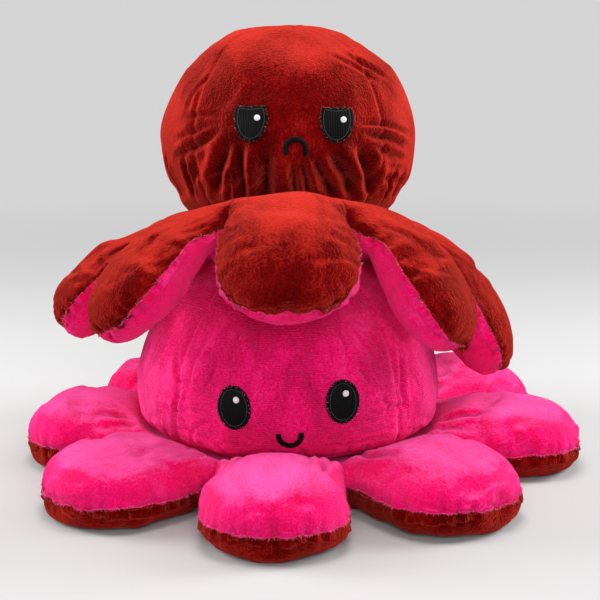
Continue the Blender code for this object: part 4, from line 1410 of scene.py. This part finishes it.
def eyeMeshes(find, toy, settings, centre, pile, seed):
    rng = np.random.default_rng(seed)
    outline = [eyeEdge(settings, 2 * math.pi * k / 56) for k in range(56)]
    pad = paddedPatch(find, toy, outline, centre, stitching["padRise"])
    half, tall = settings["eyeHalf"]
    inset = 1.0 - stitching["borderWidth"] / half * 0.75
    paths = []
    across = -half * inset
    while across <= half * inset:
        span = [point for point in outline]
        ups = []
        for (x0, z0), (x1, z1) in zip(span, span[1:] + span[:1]):
            x0, z0, x1, z1 = x0 * inset, z0 * inset, x1 * inset, z1 * inset
            if (x0 - across) * (x1 - across) <= 0.0 and abs(x1 - x0) > 1e-9:
                ups.append(z0 + (z1 - z0) * (across - x0) / (x1 - x0))
        if len(ups) >= 2 and max(ups) - min(ups) > 0.001:
            low, high = min(ups) + rng.uniform(-1, 1) * 0.0002, max(ups) + rng.uniform(-1, 1) * 0.0002
            path = []
            for k in range(9):
                share = k / 8
                z = low + (high - low) * share
                dome = math.sqrt(max(0.0, 1.0 - (across / half) ** 2)) * math.sqrt(max(0.0, 1.0 - (2 * share - 1) ** 2 * 0.85))
                lift = stitching["lowest"] + stitching["padRise"] * (0.10 + 0.62 * dome)
                path.append(toy["place"] @ onCloth(find, centre[0] + across, centre[1] + z, lift))
            paths.append(path)
        across += stitching["ribSpacing"]
    fill = grownMesh(
        pathObject("fill", paths), threadTree, {"threadRadius": stitching["ribRadius"], "threadSides": 8, "cloth": blackThread}
    )
    border = borderMesh(find, toy, outline, centre, stitching["borderWidth"])
    edge = edgeMesh(find, toy, outline, centre)
    return [pad, fill, border, edge, fringeMesh(find, toy, outline, centre, pile, seed)]


def edgeMesh(find, toy, outline, centre):
    # the thread that closes the border on its inner side, coloured lighter as a painted highlight along that edge
    path = []
    for across, up in [*outline, outline[0]]:
        length = math.hypot(across, up)
        share = 1.0 - (stitching["borderWidth"] + 0.0001) / length
        lift = stitching["lowest"] + stitching["edgeLift"]
        path.append(toy["place"] @ onCloth(find, centre[0] + across * share, centre[1] + up * share, lift))
    return grownMesh(
        pathObject("edge", [path]), threadTree, {"threadRadius": stitching["edgeRadius"], "threadSides": 6, "cloth": edgeThread}
    )


def fringeMesh(find, toy, outline, centre, pile, seed):
    # pile that strays over the border's outer edge
    path, lies = [], []
    turned = toy["place"].to_3x3()
    for across, up in [*outline, outline[0]]:
        point, normal = find(centre[0] + across, centre[1] + up)
        path.append(toy["place"] @ (point + normal * 0.0004))
        lies.append(turned @ (normal * 0.8 - Vector((across, 0.0, up)).normalized() * 0.5))
    return grownMesh(
        pathObject("fringe", [path], [lies]),
        tuftTree,
        {
            "spacing": stitching["fringeSpacing"],
            "tuftLength": stitching["fringeLength"],
            "tuftWidth": stitching["fringeWidth"],
            "scatter": 0.7,
            "seed": seed,
            "cloth": pile,
        },
    )


def borderMesh(find, toy, outline, centre, width):
    # short threads side by side across the outline
    count = len(outline)
    lengths = [math.dist(outline[k], outline[(k + 1) % count]) for k in range(count)]
    total = sum(lengths)
    steps = int(total / stitching["borderSpacing"])
    paths = []
    for step in range(steps):
        walk = total * step / steps
        k = 0
        while walk > lengths[k]:
            walk -= lengths[k]
            k = (k + 1) % count
        share = walk / max(lengths[k], 1e-9)
        x0, z0 = outline[k]
        x1, z1 = outline[(k + 1) % count]
        x, z = x0 + (x1 - x0) * share, z0 + (z1 - z0) * share
        before, after = outline[k - 1], outline[(k + 2) % count]
        way = Vector((after[0] - before[0], after[1] - before[1])).normalized()
        inwards = Vector((-way.y, way.x))
        if inwards.dot(Vector((-x, -z))) < 0.0:
            inwards.negate()
        path = []
        for p in range(5):
            depth = width * p / 4 - 0.0002
            lift = stitching["lowest"] + 0.0008 * math.sin(math.pi * (0.12 + 0.76 * p / 4))
            path.append(
                toy["place"] @ onCloth(find, centre[0] + x + inwards.x * depth, centre[1] + z + inwards.y * depth, lift)
            )
        paths.append(path)
    return grownMesh(
        pathObject("border", paths), threadTree, {"threadRadius": stitching["threadRadius"], "threadSides": 5, "cloth": blackThread}
    )


def mouthMeshes(find, toy, settings):
    # satin stitch across a half circle with straight ends
    way = -1.0 if settings["mood"] == "smile" else 1.0
    radius, leg = settings["mouth"]
    stroke = stitching["mouthStroke"]
    total = math.pi * radius + 2 * leg
    steps = int(total / (stitching["borderSpacing"] * 0.9))
    paths = []
    for step in range(steps + 1):
        walk = total * step / steps
        turn = min(max((walk - leg) / radius, 0.0), math.pi)
        below = max(leg - walk, walk - leg - math.pi * radius, 0.0)
        centre = (settings["mouthAside"] - radius * math.cos(turn), radius * math.sin(turn) - below)
        across = (-math.cos(turn), math.sin(turn))
        ends = min(step, steps - step) / 4.0
        reach = stroke / 2 * math.sqrt(min(1.0, 0.35 + ends))
        path = []
        for p in range(6):
            part = -1.0 + 2.0 * p / 5
            x, z = centre[0] + across[0] * reach * part, centre[1] + across[1] * reach * part
            lift = stitching["lowest"] + 0.0013 * math.sqrt(max(0.0, 1.0 - part * part)) + 0.0001
            path.append(toy["place"] @ onCloth(find, x, settings["mouthUp"] + way * z, lift))
        paths.append(path)
    fill = grownMesh(
        pathObject("mouth", paths), threadTree, {"threadRadius": stitching["threadRadius"] * 1.05, "threadSides": 6, "cloth": blackThread}
    )
    return [fill]


def glintMeshes(find, toy, settings, centre):
    # a small round of white thread worked over the black
    radius = stitching["glintRadius"]
    middle = (centre[0] + settings["glint"][0], centre[1] + settings["glint"][1])
    base = stitching["lowest"] + stitching["padRise"] * 1.3
    paths = []
    count = 9
    for row in range(count):
        part = -1.0 + 2.0 * (row + 0.5) / count
        half = radius * math.sqrt(1.0 - part * part)
        path = []
        for p in range(6):
            u = -half + 2.0 * half * p / 5
            x = middle[0] + u * 0.80 + part * radius * 0.45
            z = middle[1] + u * 0.45 - part * radius * 0.80
            lift = base + 0.0009 * math.sqrt(max(0.0, 1.0 - (u * u + (part * radius) ** 2) / (radius * radius * 1.05)))
            path.append(toy["place"] @ onCloth(find, x, z, lift))
        paths.append(path)
    return [
        grownMesh(pathObject("glint", paths), threadTree, {"threadRadius": 0.00036, "threadSides": 6, "cloth": whiteThread})
    ]


facePieces = []
for label, settings in faces.items():
    toy = settings["toy"]
    outside = label.endswith("Outer")
    cloth = heads[toy["name"]] if outside else pouchPieces[toy["name"]]
    find = surfaceFinder(toy, cloth, settings, outside)
    prefix = toy["name"] + ("" if outside else "Hidden")
    cad = toy["name"] + ("_" if outside else "_hidden_")
    for sideName, sign in (("left", -1.0), ("right", 1.0)):
        centre = (sign * settings["spread"], settings["eyeUp"])
        title = sideName[0].upper() + sideName[1:]
        pile = toy["piles"][0 if outside else 1]
        meshes = eyeMeshes(find, toy, settings, centre, pile, 60 + len(facePieces))
        # the fourth material is the lighter thread of the painted highlight on the border's inner edge
        eye = joinedObject(f"{prefix}{title}Eye", meshes, [blackThread, blackThread, blackThread, edgeThread, pile])
        facePieces.append((eye, toy, [f"{cad}{sideName}_eye"]))
        glint = joinedObject(f"{prefix}{title}Glint", glintMeshes(find, toy, settings, centre), [whiteThread])
        facePieces.append((glint, toy, []))
    mouth = joinedObject(f"{prefix}Mouth", mouthMeshes(find, toy, settings), [blackThread])
    facePieces.append((mouth, toy, [f"{cad}mouth"]))
print("faces stitched:", sum(len(entry[0].data.polygons) for entry in facePieces), "faces")

# ---- pile that strays over the seams between the two colours

seamPile = {"spacing": 0.0011, "length": 0.0021, "width": 0.00022, "scatter": 0.75}


def makeSeamPile(lobe, index):
    toy = lobe["toy"]
    mesh = lobe["piece"].data
    tree = BVHTree.FromPolygons([v.co.copy() for v in mesh.vertices], [tuple(f.vertices) for f in mesh.polygons])
    meshes = []
    for which, (pile, shift) in enumerate(zip(toy["piles"], (0.0005, -0.0004))):
        path, lies = [], []
        for point in lobe["seam"][2:-2]:
            near, normal, _, _ = tree.find_nearest(Vector(point) + Vector((0.0, 0.0, shift)))
            path.append(near - normal * 0.0002)
            lies.append(normal + Vector((0.0, 0.0, -0.5 if which == 0 else 0.4)))
        meshes.append(
            grownMesh(
                pathObject("pile", [path], [lies]),
                tuftTree,
                {
                    "spacing": seamPile["spacing"] * (1.0 + 0.6 * which),
                    "tuftLength": seamPile["length"],
                    "tuftWidth": seamPile["width"],
                    "scatter": seamPile["scatter"],
                    "seed": index * 2 + which,
                    "cloth": pile,
                },
            )
        )
    name = lobe["piece"].name.replace("Tentacle", "SeamPile")
    return joinedObject(name, meshes, list(toy["piles"]))


for index, lobe in enumerate(lobes):
    lobe["pile"] = makeSeamPile(lobe, index)
print("seam pile made")

# ---- what moves with what

for lobe in lobes:
    toy, side = lobe["toy"], lobe["side"]
    tentacle = f"{toy['name']}_tentacle_{snake(side)}"
    start, end = blendEnds(toy, lobe["plan"])
    nodes = [f"{tentacle}_top", f"{tentacle}_sole"]
    if side == "front":
        nodes += [f"{toy['name']}_skirt_top", f"{toy['name']}_skirt_sole"]
    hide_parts(*nodes)
    for piece in (lobe["piece"], lobe["pile"]):
        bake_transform(piece)

for name, head in heads.items():
    panels = [f"{name}_head_{side}_panel" for side in ("front", "right", "back", "left")]
    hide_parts(*panels, f"{name}_head_filling")
    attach(head, f"{name}_body")
    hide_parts(f"{name}_head_lining")
    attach(pouchPieces[name], f"{name}_body")

for piece, toy, nodes in facePieces:
    if nodes:
        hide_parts(*nodes)
    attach(piece, f"{toy['name']}_body")
print("pieces set on their bodies")

# ---- floor, backdrop and studio light

studio = {
    "floorColour": (0.49, 0.49, 0.49),
    "farColour": (0.66, 0.66, 0.66),
    "farReach": (0.36, 1.30),
    "worldColour": (0.86, 0.87, 0.88),
    "worldStrength": 0.30,
    "lamps": (
        ("overheadSoftbox", (0.05, -0.05, 1.30), 0.8, 10.5),
        ("leftSoftbox", (-1.20, 0.20, 0.60), 0.7, 17.0),
        ("rightSoftbox", (1.20, 0.25, 0.70), 0.7, 17.0),
        ("frontSoftbox", (0.10, -1.70, 0.80), 0.9, 14.0),
    ),
    "aim": (-0.01, 0.0, 0.12),
}



def seenDirectly(bench):
    seen = bench.node("ShaderNodeLightPath", {}, {}, "Is Camera Ray")
    for kind in ("Is Glossy Ray", "Is Transmission Ray"):
        seen = seen + bench.node("ShaderNodeLightPath", {}, {}, kind)
    return seen


floorMesh = bpy.data.meshes.new("floor")
floorMesh.from_pydata([(-6.0, -4.0, 0.0), (6.0, -4.0, 0.0), (6.0, 12.0, 0.0), (-6.0, 12.0, 0.0)], [], [(0, 1, 2, 3)])
floorMaterial, floorBench, floorShader = newMaterial("palePaper")
floorShader.inputs["Base Color"].default_value = opaque(studio["floorColour"])
floorShader.inputs["Roughness"].default_value = 0.9
# away from the toys the paper shows one even tone to the camera, as a sweep lit by itself would
floorPlace = floorBench.node("ShaderNodeTexCoord", {}, {}, "Object")
away = floorBench.node("ShaderNodeVectorMath", {"operation": "LENGTH"}, {0: floorPlace}, "Value")
even = floorBench.node(
    "ShaderNodeMapRange",
    {"interpolation_type": "SMOOTHSTEP"},
    {"Value": away, "From Min": studio["farReach"][0], "From Max": studio["farReach"][1]},
)
far = floorBench.node("ShaderNodeEmission", {}, {"Color": opaque(studio["farColour"]), "Strength": 1.0})
floorMix = floorBench.node("ShaderNodeMixShader", {}, {0: even * seenDirectly(floorBench), 2: far})
floorLinks = floorMaterial.node_tree.links
floorLinks.new(floorShader.outputs[0], floorMix.socket.node.inputs[1])
floorLinks.new(floorMix.socket, floorMaterial.node_tree.nodes["Material Output"].inputs["Surface"])
floor = makeObject("floor", floorMesh, [floorMaterial])

world = bpy.data.worlds.new("studioWorld")
bpy.context.scene.world = world
world.use_nodes = True
sky = world.node_tree.nodes["Background"]
sky.inputs["Color"].default_value = opaque(studio["worldColour"])
sky.inputs["Strength"].default_value = studio["worldStrength"]
skyBench = nodeBench(world.node_tree)
backdrop = skyBench.node("ShaderNodeBackground", {}, {"Color": opaque(studio["farColour"]), "Strength": 1.0})
skySeen = seenDirectly(skyBench)
skyMix = skyBench.node("ShaderNodeMixShader", {}, {0: skySeen, 2: backdrop})
world.node_tree.links.new(sky.outputs[0], skyMix.socket.node.inputs[1])
world.node_tree.links.new(skyMix.socket, world.node_tree.nodes["World Output"].inputs["Surface"])
for name, location, size, power in studio["lamps"]:
    light = bpy.data.lights.new(name, "AREA")
    light.shape = "DISK"
    light.size = size
    light.energy = power
    lamp = bpy.data.objects.new(name, light)
    bpy.context.scene.collection.objects.link(lamp)
    lamp.location = location
    lamp.rotation_euler = (Vector(studio["aim"]) - Vector(location)).to_track_quat("-Z", "Y").to_euler()
bpy.context.scene.view_settings.view_transform = "Standard"
print("studio lit")
